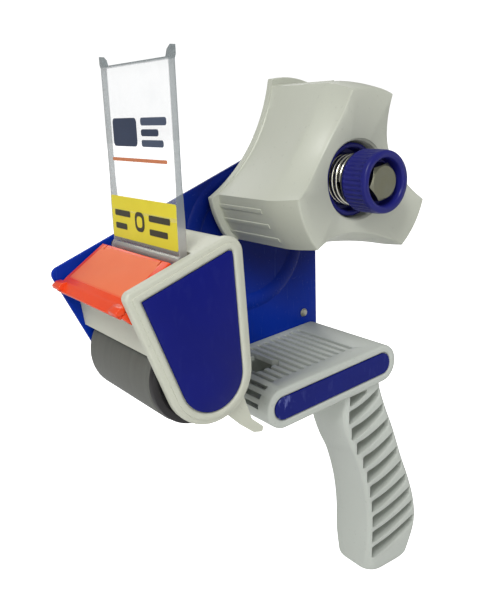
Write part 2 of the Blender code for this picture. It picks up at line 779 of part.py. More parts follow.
def near_edge_y(x, z):
    """The near end slopes back from the lobe tips to the dip between the lobes."""
    share = (math.hypot(x, z) - web_near) / (lobe_near_radius - web_near)
    return hub_near + web_dip * (1 - max(0.0, min(1.0, share)))


def build_hub():
    rim = hub_ring(lobe_radius + hub_rim, web_far + 0.8)
    rim_foot = hub_ring(lobe_radius + rim_fillet, web_far + 0.4)
    side_far = hub_ring(lobe_radius, web_far)
    side_mid = hub_ring(lobe_radius, web_mid)
    edge = hub_ring(lobe_near_radius, web_near)
    rings = [[(x, rim_far, z) for x, z in rim], [(x, rim_near, z) for x, z in rim],
             [(x, rim_near, z) for x, z in rim_foot], [(x, rim_near - rim_fillet, z) for x, z in side_far],
             [(x, hub_kink, z) for x, z in side_mid],
             [(x, near_edge_y(x, z), z) for x, z in edge]]
    inner = []
    for x, z in edge:
        r = math.hypot(x, z)
        inner.append((x * (recess_radius - 1.5) / r, hub_near + web_dip, z * (recess_radius - 1.5) / r))
    rings.append(inner)
    hub = loft(rings)
    bmesh.ops.triangulate(hub, faces=hub.faces)      # its sides are not flat
    # The far side is hollow round a central boss.
    hollow = loft([[(x, y, z) for x, z in hub_ring(lobe_radius, web, hub_wall)]
                   for y, web in ((rim_far + 1, web_far), (hub_kink + 4, web_far + 2.0))])
    bmesh.ops.triangulate(hollow, faces=hollow.faces)
    boss = rod(recess_radius + boss_wall, hub_kink - 5, boss_far, steps=32)
    hub = cut(hub, cut(hollow, boss))
    cup_recess = rod(recess_radius, hub_near - 2, recess_floor, steps=36)
    bore = rod(bush_radius + run_gap, recess_floor - 3, rim_far + 2, steps=24)
    hub = cut(hub, bore, cup_recess)
    lightening = turned([(bush_radius + run_gap + 2.4, recess_floor + 3.0),
                         (recess_radius + boss_wall - 2.4, recess_floor + 3.0),
                         (recess_radius + boss_wall - 2.4, rim_far + 2),
                         (bush_radius + run_gap + 2.4, rim_far + 2)], 32)
    hub = cut(hub, lightening)
    # Grip ribs on each lobe end.
    rib_start = rim_near - rim_fillet
    rib_length = hub_length * 0.56
    ribs = []
    for lobe in range(3):
        middle = hub_phase + 120 * lobe
        for i in range(hub_ribs):
            turn = middle + (i - (hub_ribs - 1) / 2) * rib_spread
            rib = block((lobe_radius - 1.0, rib_start - rib_length - 2.0 * i, -rib_width / 2),
                        (lobe_radius + fit_gap, rib_start, rib_width / 2))
            spin = Matrix.Rotation(-math.radians(turn), 4, "Y")
            bmesh.ops.transform(rib, matrix=spin, verts=rib.verts)
            ribs.append(rib)
    hub = fuse(hub, joined(*ribs))
    add_part("hub", hub, ((0.47, 0.48, 0.42), 0.45))
    washer = turned([(spindle_radius + fit_gap, -pad_height - fit_gap),
                     (hub_washer_radius, -pad_height - fit_gap), (hub_washer_radius, boss_far + fit_gap),
                     (spindle_radius + fit_gap, boss_far + fit_gap)], 28)
    add_part("hub_washer", washer, ((0.6, 0.62, 0.64), 0.35, 1.0))
    bush = turned([(spindle_radius + fit_gap, boss_far), (bush_radius, boss_far),
                   (bush_radius, recess_floor + fit_gap),
                   (spindle_radius + fit_gap, recess_floor + fit_gap)], 28)
    add_part("hub_bush", bush, ((0.7, 0.7, 0.68), 0.5))


# ---------------------------------------------------------------------------- brake
def build_brake():
    cup_far = recess_floor - fit_gap
    cup_near = cup_far - cup_height
    floor = cup_far - cup_wall
    bore = spindle_radius + fit_gap
    cup = turned([(bore, cup_far), (cup_radius - 0.5, cup_far), (cup_radius, cup_far - 0.5),
                  (cup_radius, cup_near + 0.5), (cup_radius - 0.5, cup_near),
                  (cup_radius - cup_wall + 0.4, cup_near), (cup_radius - cup_wall, cup_near + 0.4),
                  (cup_radius - cup_wall, floor), (bore, floor)], 32)
    add_part("brake_cup", cup, ((0.012, 0.012, 0.24), 0.3))
    washer_far = knob_rear + fit_gap + washer_thickness
    washer = turned([(bore, knob_rear + fit_gap), (washer_radius, knob_rear + fit_gap),
                     (washer_radius, washer_far), (bore, washer_far)], 32)
    add_part("brake_washer", washer, ((0.62, 0.64, 0.66), 0.3, 1.0))
    start = floor - fit_gap - spring_wire / 2
    end = washer_far + fit_gap + spring_wire / 2
    steps = int(spring_turns * 14)
    path = []
    for i in range(steps + 1):
        share = i / steps
        a = 2 * math.pi * spring_turns * share
        path.append((spring_radius * math.cos(a), start + (end - start) * share,
                     spring_radius * math.sin(a)))
    add_part("brake_spring", tube(path, spring_wire / 2, 6), ((0.66, 0.67, 0.66), 0.22, 1.0))
    # Knob: fluted grip, plain bands at both ends, deep recess for the bolt head.
    knob_front = knob_rear - knob_length
    seat = knob_front + hex_height + head_sink
    flutes = []
    for i in range(knob_flutes * 2):
        r = knob_radius if i % 2 == 0 else knob_radius - flute_depth
        a = math.pi * i / knob_flutes
        flutes.append((r * math.cos(a), r * math.sin(a)))
    band = circle(0, 0, knob_radius - 0.3, knob_flutes * 2)
    edge = circle(0, 0, knob_radius - 0.9, knob_flutes * 2)
    rings = [[(x, y, z) for x, z in shape] for y, shape in
             ((knob_rear, edge), (knob_rear - 0.6, band), (knob_rear - 1.4, flutes),
              (knob_front + 1.6, flutes), (knob_front + 1.0, band), (knob_front, edge))]
    knob = loft(rings)
    recess = round_bar([(knob_recess - 0.4, seat), (knob_recess, seat - 0.4),
                        (knob_recess, knob_front + 0.6), (knob_recess + 0.7, knob_front - 0.1),
                        (knob_recess + 0.7, knob_front - 2)], 28)
    knob = cut(knob, recess, rod(bore, seat - 3, knob_rear + 3, steps=16))
    add_part("brake_knob", knob, ((0.014, 0.014, 0.25), 0.32))
    head_far = seat - fit_gap
    head_near = head_far - hex_height
    rings = []
    for y, scale in ((head_near, 0.86), (head_near + 0.7, 1.0), (head_far, 1.0)):
        rings.append([(x, y, z) for x, z in hex_outline(hex_flats, 0, 0, scale, 12)])
    bolt = fuse(loft(rings), rod(spindle_radius, head_far - 0.5, plate_far + spindle_nut_height + 3.0,
                                 steps=16, chamfer=0.4))
    add_part("spindle_bolt", bolt, ((0.62, 0.62, 0.58), 0.25, 1.0), smooth=20)
    nut = hex_nut(hex_flats, spindle_radius + fit_gap, plate_far + fit_gap, spindle_nut_height,
                  0, 0)
    flange_far = plate_far + fit_gap
    flange = turned([(spindle_radius + fit_gap, flange_far), (nut_flange_radius, flange_far),
                     (nut_flange_radius, flange_far + 1.0), (spindle_radius + fit_gap, flange_far + 1.4)], 20)
    add_part("spindle_nut", fuse(nut, flange), ((0.6, 0.62, 0.64), 0.3, 1.0), smooth=20)


# --------------------------------------------------------------------------- handle
def grip_front(z):
    """Front edge of the grip: hollow under the deck, then swelling to the palm."""
    knots = [(-3.7, 7.8), (12.3, 7.0), (24.3, 10.8), (34.3, 15.6), (50.3, 20.1), (66.3, 22.0),
             (80.3, 21.8), (92.5, 21.9)]
    return deck_centre[0] + smooth_value(knots, -z - grip_root)


def grip_rear(z):
    knots = [(-7.7, 27.4), (0.3, 28.6), (10.3, 32.2), (23.3, 37.8), (39.3, 43.8), (53.3, 49.6),
             (66.3, 53.6), (78.3, 54.6), (92.5, 51.0)]
    return deck_centre[0] + smooth_value(knots, -z - grip_root)


def smooth_value(knots, at):
    """Smooth curve through a few (position, value) pairs."""
    last = len(knots) - 1
    if at <= knots[0][0]:
        return knots[0][1]
    if at >= knots[last][0]:
        return knots[last][1]
    slopes = []
    for i in range(last + 1):
        a = knots[max(i - 1, 0)]
        b = knots[min(i + 1, last)]
        slopes.append((b[1] - a[1]) / (b[0] - a[0]))
    for i in range(last):
        x0, v0 = knots[i]
        x1, v1 = knots[i + 1]
        if at <= x1:
            w = x1 - x0
            t = (at - x0) / w
            return ((2 * t ** 3 - 3 * t ** 2 + 1) * v0 + (t ** 3 - 2 * t ** 2 + t) * w * slopes[i]
                    + (3 * t ** 2 - 2 * t ** 3) * v1 + (t ** 3 - t ** 2) * w * slopes[i + 1])
    return knots[last][1]


def grip_ring(z, front, rear, near, far):
    """Level section of the grip with rounded corners."""
    half_x = (rear - front) / 2
    half_y = (far - near) / 2
    corner = min(grip_corner, half_x * 0.8, half_y * 0.8)
    flat = rounded([(-half_x, -half_y, corner), (half_x, -half_y, corner),
                    (half_x, half_y, corner), (-half_x, half_y, corner)], 3)
    return [((front + rear) / 2 + x, (near + far) / 2 + y, z) for x, y in flat]


def build_grip():
    top = deck_point(0, -deck_height / 2 + 1.6)[1]
    bottom = -grip_root - grip_length
    far = grip_near + grip_width
    count = 17
    rings = []
    for i in range(count + 1):
        z = top + (bottom - top) * i / count
        rings.append(grip_ring(z, grip_front(z), grip_rear(z), grip_near, far))
    # Rounded foot of the grip.
    middle = (grip_front(bottom) + grip_rear(bottom)) / 2 + 1.0
    half_x = (grip_rear(bottom) - grip_front(bottom)) / 2
    middle_y = (grip_near + far) / 2
    for drop, share in ((0.52, 0.86), (0.86, 0.62), (1.0, 0.34)):
        half_y = grip_width / 2 * (0.5 + share / 2)
        rings.append(grip_ring(bottom - drop * grip_foot, middle - half_x * share, middle + half_x * share,
                               middle_y - half_y, middle_y + half_y))
    return loft(rings)


def deck_under(x):
    """Height of the deck's underside at a place along X."""
    tilt = math.radians(deck_tilt)
    return deck_centre[1] + (x - deck_centre[0]) * math.tan(tilt) - deck_height / 2 / math.cos(tilt)


def pocket_cutter(index, near_side):
    """Curved pocket between two ribs of the grip, rising towards the rear."""
    start_z = -grip_root - pocket_first - pocket_pitch * index
    far = grip_near + grip_width
    if near_side:
        y0, y1 = grip_near - 3, grip_near + pocket_depth
    else:
        y0, y1 = far - pocket_depth, far + 3
    x0 = grip_front(start_z) + pocket_wall
    x1 = grip_rear(start_z + pocket_rise) - pocket_wall
    upper = []
    lower = []
    steps = 4
    for i in range(steps + 1):
        share = i / steps
        x = x0 + (x1 - x0) * share
        z = start_z + pocket_rise * share ** 1.6
        half = pocket_height / 2 * (1.0 - pocket_narrowing * share)
        # The deck's floor is the ceiling of the first pocket.
        ceiling = deck_under(x) - 1.0
        if ceiling - (z - half) < 1.5:
            break
        upper.append((x, min(z + half, ceiling)))
        lower.append((x, z - half))
    return prism(lower + upper[::-1], y0, y1)


def slot_cutters():
    """Slots across the deck's top, then round its nose."""
    cutters = []
    near = -fit_gap - deck_width + slot_near_border
    far = -fit_gap - slot_far_border
    first = -deck_length / 2 + deck_corner + 2.0
    for i in range(slot_count):
        along = first + slot_pitch * i
        outline = [deck_point(along - slot_width / 2, deck_height / 2 - deck_wall - 1.5),
                   deck_point(along + slot_width / 2, deck_height / 2 - deck_wall - 1.5),
                   deck_point(along + slot_width / 2, deck_height / 2 + 2),
                   deck_point(along - slot_width / 2, deck_height / 2 + 2)]
        cutters.append(prism(outline, near, far))
    for i in range(nose_slots):
        a = math.radians(112 + 29 * i)
        cx = -deck_length / 2 + deck_corner
        inner = deck_corner - deck_wall - 1.5
        outer = deck_corner + 2
        side = (-math.sin(a), math.cos(a))
        corners = []
        for r, w in ((inner, -1), (outer, -1), (outer, 1), (inner, 1)):
            corners.append(deck_point(cx + r * math.cos(a) + side[0] * w * slot_width * 0.6,
                                      r * math.sin(a) + side[1] * w * slot_width * 0.6))
        cutters.append(prism(corners, near - 2.0, far))
    return cutters


def window_cutter():
    """Notched opening through the deck's top, near its nose."""
    x = -deck_length / 2 + deck_corner + 3.0
    plan = [(x, -13.0), (x + 12.0, -13.0), (x + 12.0, -23.0), (x + 14.0, -25.5),
            (x + 12.0, -28.0), (x, -28.0)]
    rings = []
    for up in (deck_height / 2 - deck_wall - 1.0, deck_height / 2 + 2):
        ring = []
        for along, y in plan:
            px, pz = deck_point(along, up)
            ring.append((px, y, pz))
        rings.append(ring)
    return loft(rings)


def build_handle():
    far = -fit_gap
    near = far - deck_width
    shell = prism(deck_outline(), near, far)
    shell = fuse(shell, build_grip())
    cavity = prism(deck_outline(deck_wall, 5), near + panel_depth + deck_wall, far + 2)
    shell = cut(shell, cavity)
    for along in deck_screw_alongs():
        x, z = deck_point(along, 0)
        low = deck_point(along, -deck_height / 2 + deck_wall / 2)[1]
        high = deck_point(along, deck_height / 2 - deck_wall / 2)[1]
        shell = fuse(shell, rod(3.8, -18.0, far, x, z, 20))
        shell = fuse(shell, block((x - 0.9, -16.0, low), (x + 0.9, far - 0.2, high)))
    shell = cut(shell, prism(deck_outline(deck_rim, 7), near - 1, near + panel_depth))
    shell = cut(shell, joined(*slot_cutters()))
    shell = cut(shell, window_cutter())
    holes = [rod(screw_radius + fit_gap, boss_hole - 1, 2, x, z, 16) for x, z in deck_screw_places()]
    shell = cut(shell, joined(*holes))
    for near_side in (True, False):
        pockets = [pocket_cutter(i, near_side) for i in range(grip_pockets)]
        shell = cut(shell, joined(*pockets))
    add_part("handle", shell, ((0.48, 0.50, 0.46), 0.45), smooth=35)
    panel = prism(deck_outline(deck_rim + fit_gap, 7), near + panel_depth - fit_gap - panel_thickness,
                  near + panel_depth - fit_gap)
    add_part("deck_panel", panel, ((0.012, 0.016, 0.20), 0.3))


def build_plate_screws():
    """Pan-head screws through the plate from the far side."""
    for name, places, depth in (("handle_screw", deck_screw_places(), boss_hole),
                                ("housing_screw", housing_screw_places(), boss_hole + 1.0)):
        face = plate_far + fit_gap
        for i, (x, z) in enumerate(places, 1):
            screw = round_bar([(screw_head - 1.0, face + 1.9), (screw_head, face + 1.1),
                               (screw_head, face), (screw_radius, face),
                               (screw_radius, depth + 1.5), (0.7, depth)], 14, x, z)
            add_part(f"{name}_{i}", screw, ((0.6, 0.62, 0.64), 0.3, 1.0))


clear_scene()
origin_empty = bpy.data.objects.new("grip_origin", None)
bpy.context.collection.objects.link(origin_empty)
origin_empty.location = -grip_middle * 0.001
build_side_plate()
build_front_housing()
build_blade()
build_guard()
build_flap()
build_roller()
build_hub()
build_brake()
build_handle()
build_plate_screws()
bpy.context.view_layer.update()
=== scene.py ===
import math

import bmesh
import bpy
from mathutils import Matrix, Vector


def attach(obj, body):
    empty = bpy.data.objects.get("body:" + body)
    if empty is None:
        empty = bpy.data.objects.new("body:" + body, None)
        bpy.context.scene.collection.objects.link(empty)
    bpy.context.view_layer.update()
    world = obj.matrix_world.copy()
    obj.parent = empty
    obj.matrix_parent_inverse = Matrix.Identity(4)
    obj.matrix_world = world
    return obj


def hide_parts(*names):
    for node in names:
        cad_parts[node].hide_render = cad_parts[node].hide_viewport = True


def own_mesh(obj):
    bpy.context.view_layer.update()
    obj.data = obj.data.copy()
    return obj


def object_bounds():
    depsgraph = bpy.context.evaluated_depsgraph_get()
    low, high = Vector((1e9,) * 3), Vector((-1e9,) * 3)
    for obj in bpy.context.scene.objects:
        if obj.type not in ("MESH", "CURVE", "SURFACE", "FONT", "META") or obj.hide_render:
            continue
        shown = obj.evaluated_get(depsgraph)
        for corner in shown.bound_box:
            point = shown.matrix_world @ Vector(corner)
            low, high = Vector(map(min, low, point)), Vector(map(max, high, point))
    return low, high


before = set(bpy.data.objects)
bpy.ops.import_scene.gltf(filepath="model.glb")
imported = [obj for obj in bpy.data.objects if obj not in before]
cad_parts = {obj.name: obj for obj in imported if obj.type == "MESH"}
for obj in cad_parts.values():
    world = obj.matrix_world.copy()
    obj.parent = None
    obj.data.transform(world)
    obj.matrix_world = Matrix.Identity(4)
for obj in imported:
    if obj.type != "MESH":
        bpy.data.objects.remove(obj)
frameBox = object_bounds()

# Lengths are millimetres in the hub frame: hub axis X = Z = 0 along Y, plate face Y = 0,
# front -X. Everything is moved to the grip's middle and scaled to metres when it is made.
gripMiddle = Vector((19.5, -35.8, -138.0))
fitGap = 0.3
innerWidth = 54.0
cheekInner = -innerWidth
cheekOuter = cheekInner - 4.0
plateFar = 1.6
rollerX, rollerZ, rollerRadius = -79.4, -60.6, 17.7
cheekCorners = [(rollerX + 2.9, rollerZ, rollerRadius - 0.7), (-67.6, -19.0, 6.0), (-103.8, -28.2, 2.6)]
slope = math.radians(34.0)
slopeDir = Vector((-math.cos(slope), 0, -math.sin(slope)))
slopeUp = Vector((-math.sin(slope), 0, math.cos(slope)))
guardTop = Vector((-87.0, 0, -19.3))
guardDrop = 5.2
bladeThickness = 0.7
flapX, flapPinZ = -81.6, -20.6


def onSlope(along, down):
    return guardTop + slopeDir * along - slopeUp * down


guardPin = onSlope(1.6, 3.8)
flapPin = Vector((flapX, 0, flapPinZ))


# Shader wires: arithmetic on sockets builds Math nodes.
class Wire:
    def __init__(self, graph, socket):
        self.graph = graph
        self.socket = socket

    def pick(self, name):
        return Wire(self.graph, self.socket.node.outputs[name])

    def maths(self, operation, *others):
        return self.graph.node("ShaderNodeMath", {"operation": operation},
                               dict(enumerate((self,) + others)))

    def __add__(self, other):
        return self.maths("ADD", other)

    def __sub__(self, other):
        return self.maths("SUBTRACT", other)

    def __mul__(self, other):
        return self.maths("MULTIPLY", other)

    def __rsub__(self, other):
        return self * -1 + other

    def above(self, edge, soft):
        # 0 below the edge, 1 above it, over a soft width.
        return self.graph.node("ShaderNodeMapRange", {"interpolation_type": "SMOOTHSTEP"},
                               {"Value": self, "From Min": edge - soft, "From Max": edge + soft})

    __radd__ = __add__
    __rmul__ = __mul__


class Graph:
    def __init__(self, owner):
        owner.use_nodes = True
        self.tree = owner.node_tree

    def node(self, kind, settings, values, output=0):
        made = self.tree.nodes.new(kind)
        for key, value in settings.items():
            setattr(made, key, value)
        for key, value in values.items():
            self.feed(made.inputs[key], value)
        return Wire(self, made.outputs[output])

    def feed(self, socket, value):
        if isinstance(value, Wire):
            self.tree.links.new(value.socket, socket)
        else:
            socket.default_value = value

    def mix(self, share, first, second):
        return self.node("ShaderNodeMix", {"data_type": "RGBA"}, {0: share, 6: first, 7: second}, 2)


class Finish(Graph):
    # The node graph of one material, with places taken from the object's own coordinates.
    def __init__(self, name):
        self.material = bpy.data.materials.new(name)
        super().__init__(self.material)
        self.shader = self.tree.nodes["Principled BSDF"]
        self.place = self.node("ShaderNodeTexCoord", {}, {}, "Object")

    def surface(self, **values):
        for key, value in values.items():
            self.feed(self.shader.inputs[key.replace("_", " ")], value)

    def stretched(self, x, y, z):
        return self.node("ShaderNodeVectorMath", {"operation": "MULTIPLY"}, {0: self.place, 1: (x, y, z)})

    def noise(self, size, detail=2.0, place=None):
        # Noise whose grains are about this many millimetres across.
        return self.node("ShaderNodeTexNoise", {}, {"Vector": place or self.place, "Scale": 1000.0 / size,
                                                    "Detail": detail, "Roughness": 0.55})

    def tones(self, share, colour, other):
        return self.mix(share, linear(*colour), linear(*other))

    def bump(self, height, depth):
        # Depth is in millimetres for a height of 0 to 1.
        return self.node("ShaderNodeBump", {}, {"Height": height, "Distance": depth * 0.001, "Strength": 1.0})

    def axes(self):
        # A place in the hub frame, in millimetres.
        split = self.node("ShaderNodeSeparateXYZ", {}, {0: self.place})
        return [split.pick(name) * 1000.0 + offset for name, offset in zip("XYZ", gripMiddle)]


def linear(red, green, blue):
    values = []
    for value in (red, green, blue):
        value /= 255.0
        values.append(value / 12.92 if value <= 0.04045 else ((value + 0.055) / 1.055) ** 2.4)
    return (*values, 1.0)


# Mesh helpers, all in millimetres.
def arc(cx, cz, radius, start, end, steps):
    points = []
    for i in range(steps + 1):
        a = math.radians(start + (end - start) * i / steps)
        points.append((cx + radius * math.cos(a), cz + radius * math.sin(a)))
    return points


def circle(cx, cz, radius, steps):
    return arc(cx, cz, radius, 0, 360, steps)[:-1]


def hullOutline(corners, steps, inset):
    # The outline of a band stretched round circles, each given by its middle and radius.
    corners = [(x, z, r - inset) for x, z, r in corners]
    count = len(corners)
    normals = []
    for i in range(count):
        x0, z0, r0 = corners[i]
        x1, z1, r1 = corners[(i + 1) % count]
        span = math.hypot(x1 - x0, z1 - z0)
        normals.append(math.atan2(z1 - z0, x1 - x0) - math.acos((r0 - r1) / span))
    points = []
    for i in range(count):
        x, z, r = corners[i]
        first = normals[i - 1]
        last = normals[i]
        while last < first:
            last += 2 * math.pi
        if r <= 0.35:
            # The inset has eaten this corner, so it is rounded about the point where the sides meet.
            middle = (first + last) / 2
            reach = (r - 0.5) / math.cos((last - first) / 2)
            x += reach * math.cos(middle)
            z += reach * math.sin(middle)
            r = 0.5
        points += arc(x, z, r, math.degrees(first), math.degrees(last), steps)
    return points


def rounded(points, steps):
    # An outline through points whose corners are rounded, each by its own radius.
    outline = []
    count = len(points)
    for i in range(count):
        x, z, r = points[i]
        here = Vector((x, z))
        before = (Vector(points[i - 1][:2]) - here).normalized()
        after = (Vector(points[(i + 1) % count][:2]) - here).normalized()
        if r <= 0:
            outline.append((x, z))
            continue
        half = before.angle(after) / 2
        centre = here + (before + after).normalized() * (r / math.sin(half))
        start = here + before * (r / math.tan(half)) - centre
        end = here + after * (r / math.tan(half)) - centre
        a0 = math.atan2(start.y, start.x)
        turn = (math.atan2(end.y, end.x) - a0 + math.pi) % (2 * math.pi) - math.pi
        outline += arc(centre.x, centre.y, r, math.degrees(a0), math.degrees(a0 + turn), steps)
    return outline


def roundedBox(x0, x1, z0, z1, r, steps):
    return rounded([(x0, z0, r), (x1, z0, r), (x1, z1, r), (x0, z1, r)], steps)


def ribbon(path, thickness, endThickness=None):
    # The outline of a strip along a path; it may thin evenly to its end.
    endThickness = endThickness or thickness
    left = []
    right = []
    last = len(path) - 1
    for i, point in enumerate(path):
        here = Vector(point)
        back = Vector(path[max(i - 1, 0)])
        ahead = Vector(path[min(i + 1, last)])
        alongIn = (here - back).normalized() if i > 0 else (ahead - here).normalized()
        alongOut = (ahead - here).normalized() if i < last else alongIn
        sideIn = Vector((-alongIn.y, alongIn.x))
        side = (sideIn + Vector((-alongOut.y, alongOut.x))).normalized()
        width = (thickness + (endThickness - thickness) * i / last) / 2
        offset = side * (width / max(side.dot(sideIn), 0.5))
        left.append(tuple(here + offset))
        right.append(tuple(here - offset))
    return left + right[::-1]


def level(outline, y):
    return [(x, y, z) for x, z in outline]


def loft(rings):
    bm = bmesh.new()
    rows = [[bm.verts.new(point) for point in ring] for ring in rings]
    count = len(rings[0])
    for a, b in zip(rows[:-1], rows[1:]):
        for i in range(count):
            j = (i + 1) % count
            bm.faces.new((a[i], a[j], b[j], b[i]))
    bm.faces.new(rows[0])
    bm.faces.new(rows[-1][::-1])
    bmesh.ops.recalc_face_normals(bm, faces=bm.faces)
    return bm


def prism(outline, y0, y1):
    return loft([level(outline, y) for y in (y0, y1)])


def turned(profile, steps, cx=0.0, cz=0.0):
    bm = bmesh.new()
    rows = []
    for i in range(steps):
        a = 2 * math.pi * i / steps
        rows.append([bm.verts.new((cx + r * math.cos(a), y, cz + r * math.sin(a))) for r, y in profile])
    count = len(profile)
    for i in range(steps):
        a = rows[i]
        b = rows[(i + 1) % steps]
        for k in range(count):
            m = (k + 1) % count
            bm.faces.new((a[k], a[m], b[m], b[k]))
    bmesh.ops.recalc_face_normals(bm, faces=bm.faces)
    return bm


def roundBar(profile, steps, cx=0.0, cz=0.0):
    return loft([level(circle(cx, cz, r, steps), y) for r, y in profile])


def rod(radius, y0, y1, cx=0.0, cz=0.0, steps=32):
    return roundBar([(radius, min(y0, y1)), (radius, max(y0, y1))], steps, cx, cz)


def wireAlong(path, radius, sides):
    rings = []
    up = Vector((0, 1, 0))
    for i, point in enumerate(path):
        ahead = Vector(path[min(i + 1, len(path) - 1)])
        along = (ahead - Vector(path[max(i - 1, 0)])).normalized()
        side = along.cross(up).normalized()
        across = side.cross(along)
        rings.append([Vector(point) + side * (radius * math.cos(2 * math.pi * k / sides))
                      + across * (radius * math.sin(2 * math.pi * k / sides)) for k in range(sides)])
    return loft(rings)


def block(low, high):
    bm = bmesh.new()
    bmesh.ops.create_cube(bm, size=1.0)
    bmesh.ops.scale(bm, vec=[h - l for l, h in zip(low, high)], verts=bm.verts)
    bmesh.ops.translate(bm, vec=[(l + h) / 2 for l, h in zip(low, high)], verts=bm.verts)
    return bm


def joined(*bodies):
    whole = bmesh.new()
    for body in bodies:
        mesh = bpy.data.meshes.new("joined")
        body.to_mesh(mesh)
        whole.from_mesh(mesh)
        bpy.data.meshes.remove(mesh)
        body.free()
    return whole


def scratchObject(label, body):
    mesh = bpy.data.meshes.new(label)
    body.to_mesh(mesh)
    body.free()
    thing = bpy.data.objects.new(label, mesh)
    bpy.context.collection.objects.link(thing)
    return thing


def applied(*things):
    # The first object with its modifiers applied, as a bmesh; all of them are used up.
    graph = bpy.context.evaluated_depsgraph_get()
    result = bmesh.new()
    result.from_mesh(things[0].evaluated_get(graph).to_mesh())
    for thing in things:
        mesh = thing.data
        bpy.data.objects.remove(thing, do_unlink=True)
        bpy.data.meshes.remove(mesh)
    bmesh.ops.remove_doubles(result, verts=result.verts, dist=0.00002)
    return result


def combine(target, tool, operation):
    things = [scratchObject("target", target), scratchObject("tool", tool)]
    modifier = things[0].modifiers.new("combine", "BOOLEAN")
    modifier.operation = operation
    modifier.solver = "EXACT"
    modifier.object = things[1]
    return applied(*things)


def cut(target, *tools):
    for tool in tools:
        target = combine(target, tool, "DIFFERENCE")
    return target


def fuse(target, *tools):
    for tool in tools:
        target = combine(target, tool, "UNION")
    return target


def softened(body, width, angle):
    thing = scratchObject("softened", body)
    modifier = thing.modifiers.new("soften", "BEVEL")
    modifier.width = width
    modifier.segments = 3
    modifier.limit_method = "ANGLE"
    modifier.angle_limit = math.radians(angle)
    modifier.use_clamp_overlap = True
    return applied(thing)


def makePiece(name, body, material, rides, nodes, bevel=0.0, angle=50.0, smooth=38.0):
    bmesh.ops.translate(body, vec=-gripMiddle, verts=body.verts)
    bmesh.ops.scale(body, vec=(0.001, 0.001, 0.001), verts=body.verts)
    mesh = bpy.data.meshes.new(name)
    body.to_mesh(mesh)
    body.free()
    mesh.materials.append(material)
    mesh.shade_smooth()
    mesh.set_sharp_from_angle(angle=math.radians(smooth))
    piece = bpy.data.objects.new(name, mesh)
    bpy.context.collection.objects.link(piece)
    if bevel:
        modifier = piece.modifiers.new("edges", "BEVEL")
        modifier.width = bevel * 0.001
        modifier.segments = 2
        modifier.limit_method = "ANGLE"
        modifier.angle_limit = math.radians(angle)
        modifier.harden_normals = True
    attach(piece, rides)
    if nodes:
        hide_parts(*nodes)
    return piece


# Materials.
def mouldedPlastic(name, colour, shade, roughness=0.42):
    g = Finish(name)
    cloud = g.noise(45.0, 3.0)
    grain = g.noise(0.55, 2.0)
    fine = g.noise(0.22, 1.0)
    speck = g.noise(1.6, 4.0).above(0.68, 0.04)
    tone = g.tones(cloud, colour, shade)
    tone = g.mix(speck * 0.18, tone, linear(*[value * 0.7 for value in shade]))
    g.surface(Base_Color=tone, Roughness=cloud * 0.12 + grain * 0.10 + (roughness - 0.11),
              Normal=g.bump(grain * 0.6 + fine * 0.4, 0.020))
    g.surface(Coat_Weight=0.05, Coat_Roughness=0.3, Specular_IOR_Level=0.45)
    return g.material


def paintedSteel(name, bright, dark):
    # Blue paint with orange peel and lighter rub streaks, and painted shade: the paint is darker round the hub,
    # where the hub's shadow falls on the plate.
    g = Finish(name)
    x, y, z = g.axes()
    peel = g.noise(1.8, 2.0)
    cloud = g.noise(30.0, 3.0)
    drag = g.noise(0.5, 2.0, g.stretched(1.0, 1.0, 0.04)).above(0.70, 0.03)
    far = (x * x + z * z).maths("SQRT")
    # Painted shade: within about 52 mm of the hub's axis the paint is mixed towards the dark colour.
    hubShade = (1.0 - far.above(52.0, 16.0)) * (cloud * 0.3 + 0.75)
    tone = g.tones(hubShade.maths("MINIMUM", 1.0), bright, dark)
    tone = g.mix(drag * 0.12, tone, linear(60, 90, 160))
    g.surface(Base_Color=tone, Roughness=peel * 0.08 + drag * 0.12 + 0.22,
              Normal=g.bump(peel, 0.030))
    g.surface(Specular_IOR_Level=0.10)
    return g.material


def inlay(name, colour, dark, scuffX=None):
    g = Finish(name)
    x, y, z = g.axes()
    grain = g.noise(0.35, 2.0)
    cloud = g.noise(26.0, 3.0)
    tone = g.tones(cloud * 0.7, colour, dark)
    scuffs = g.noise(2.6, 5.0, g.stretched(1.0, 1.0, 0.35)).above(0.60, 0.05)
    if scuffX is not None:
        scuffs = scuffs * (1.0 - x.above(scuffX, 7.0)) + scuffs * 0.08
    else:
        scuffs = scuffs * 0.02
    tone = g.mix(scuffs * 0.55, tone, linear(120, 128, 190))
    g.surface(Base_Color=tone, Roughness=grain * 0.10 + scuffs * 0.25 + 0.27, Normal=g.bump(grain, 0.008))
    g.surface(Specular_IOR_Level=0.10)
    return g.material


def bluePlastic(name, colour, dark):
    g = Finish(name)
    cloud = g.noise(9.0, 3.0)
    grain = g.noise(0.3, 2.0)
    tone = g.tones(cloud, colour, dark)
    g.surface(Base_Color=tone, Roughness=grain * 0.12 + 0.28, Normal=g.bump(grain, 0.008))
    g.surface(Coat_Weight=0.05, Coat_Roughness=0.2, Specular_IOR_Level=0.22)
    return g.material


def metal(name, colour, roughness, brush=(1.0, 1.0, 1.0), warmth=0.15):
    g = Finish(name)
    cloud = g.noise(4.0, 4.0)
    lines = g.noise(0.35, 3.0, g.stretched(*brush))
    tone = g.tones(cloud * warmth * 4.0, colour, (colour[0], colour[1] - 6, colour[2] - 30))
    g.surface(Base_Color=tone, Metallic=1.0, Roughness=lines * 0.16 + cloud * 0.08 + (roughness - 0.12),
              Normal=g.bump(lines, 0.006))
    return g.material


def rollerRubber(name):
    g = Finish(name)
    bands = g.noise(3.4, 2.0, g.stretched(0.0, 1.0, 0.0))
    dust = g.noise(1.2, 5.0)
    tone = g.tones(bands, (70, 72, 67), (98, 100, 94))
    tone = g.mix(dust * 0.35, tone, linear(116, 117, 110))
    g.surface(Base_Color=tone, Roughness=dust * 0.16 + bands * 0.1 + 0.40,
              Normal=g.bump(bands * 0.7 + dust * 0.3, 0.05))
    return g.material


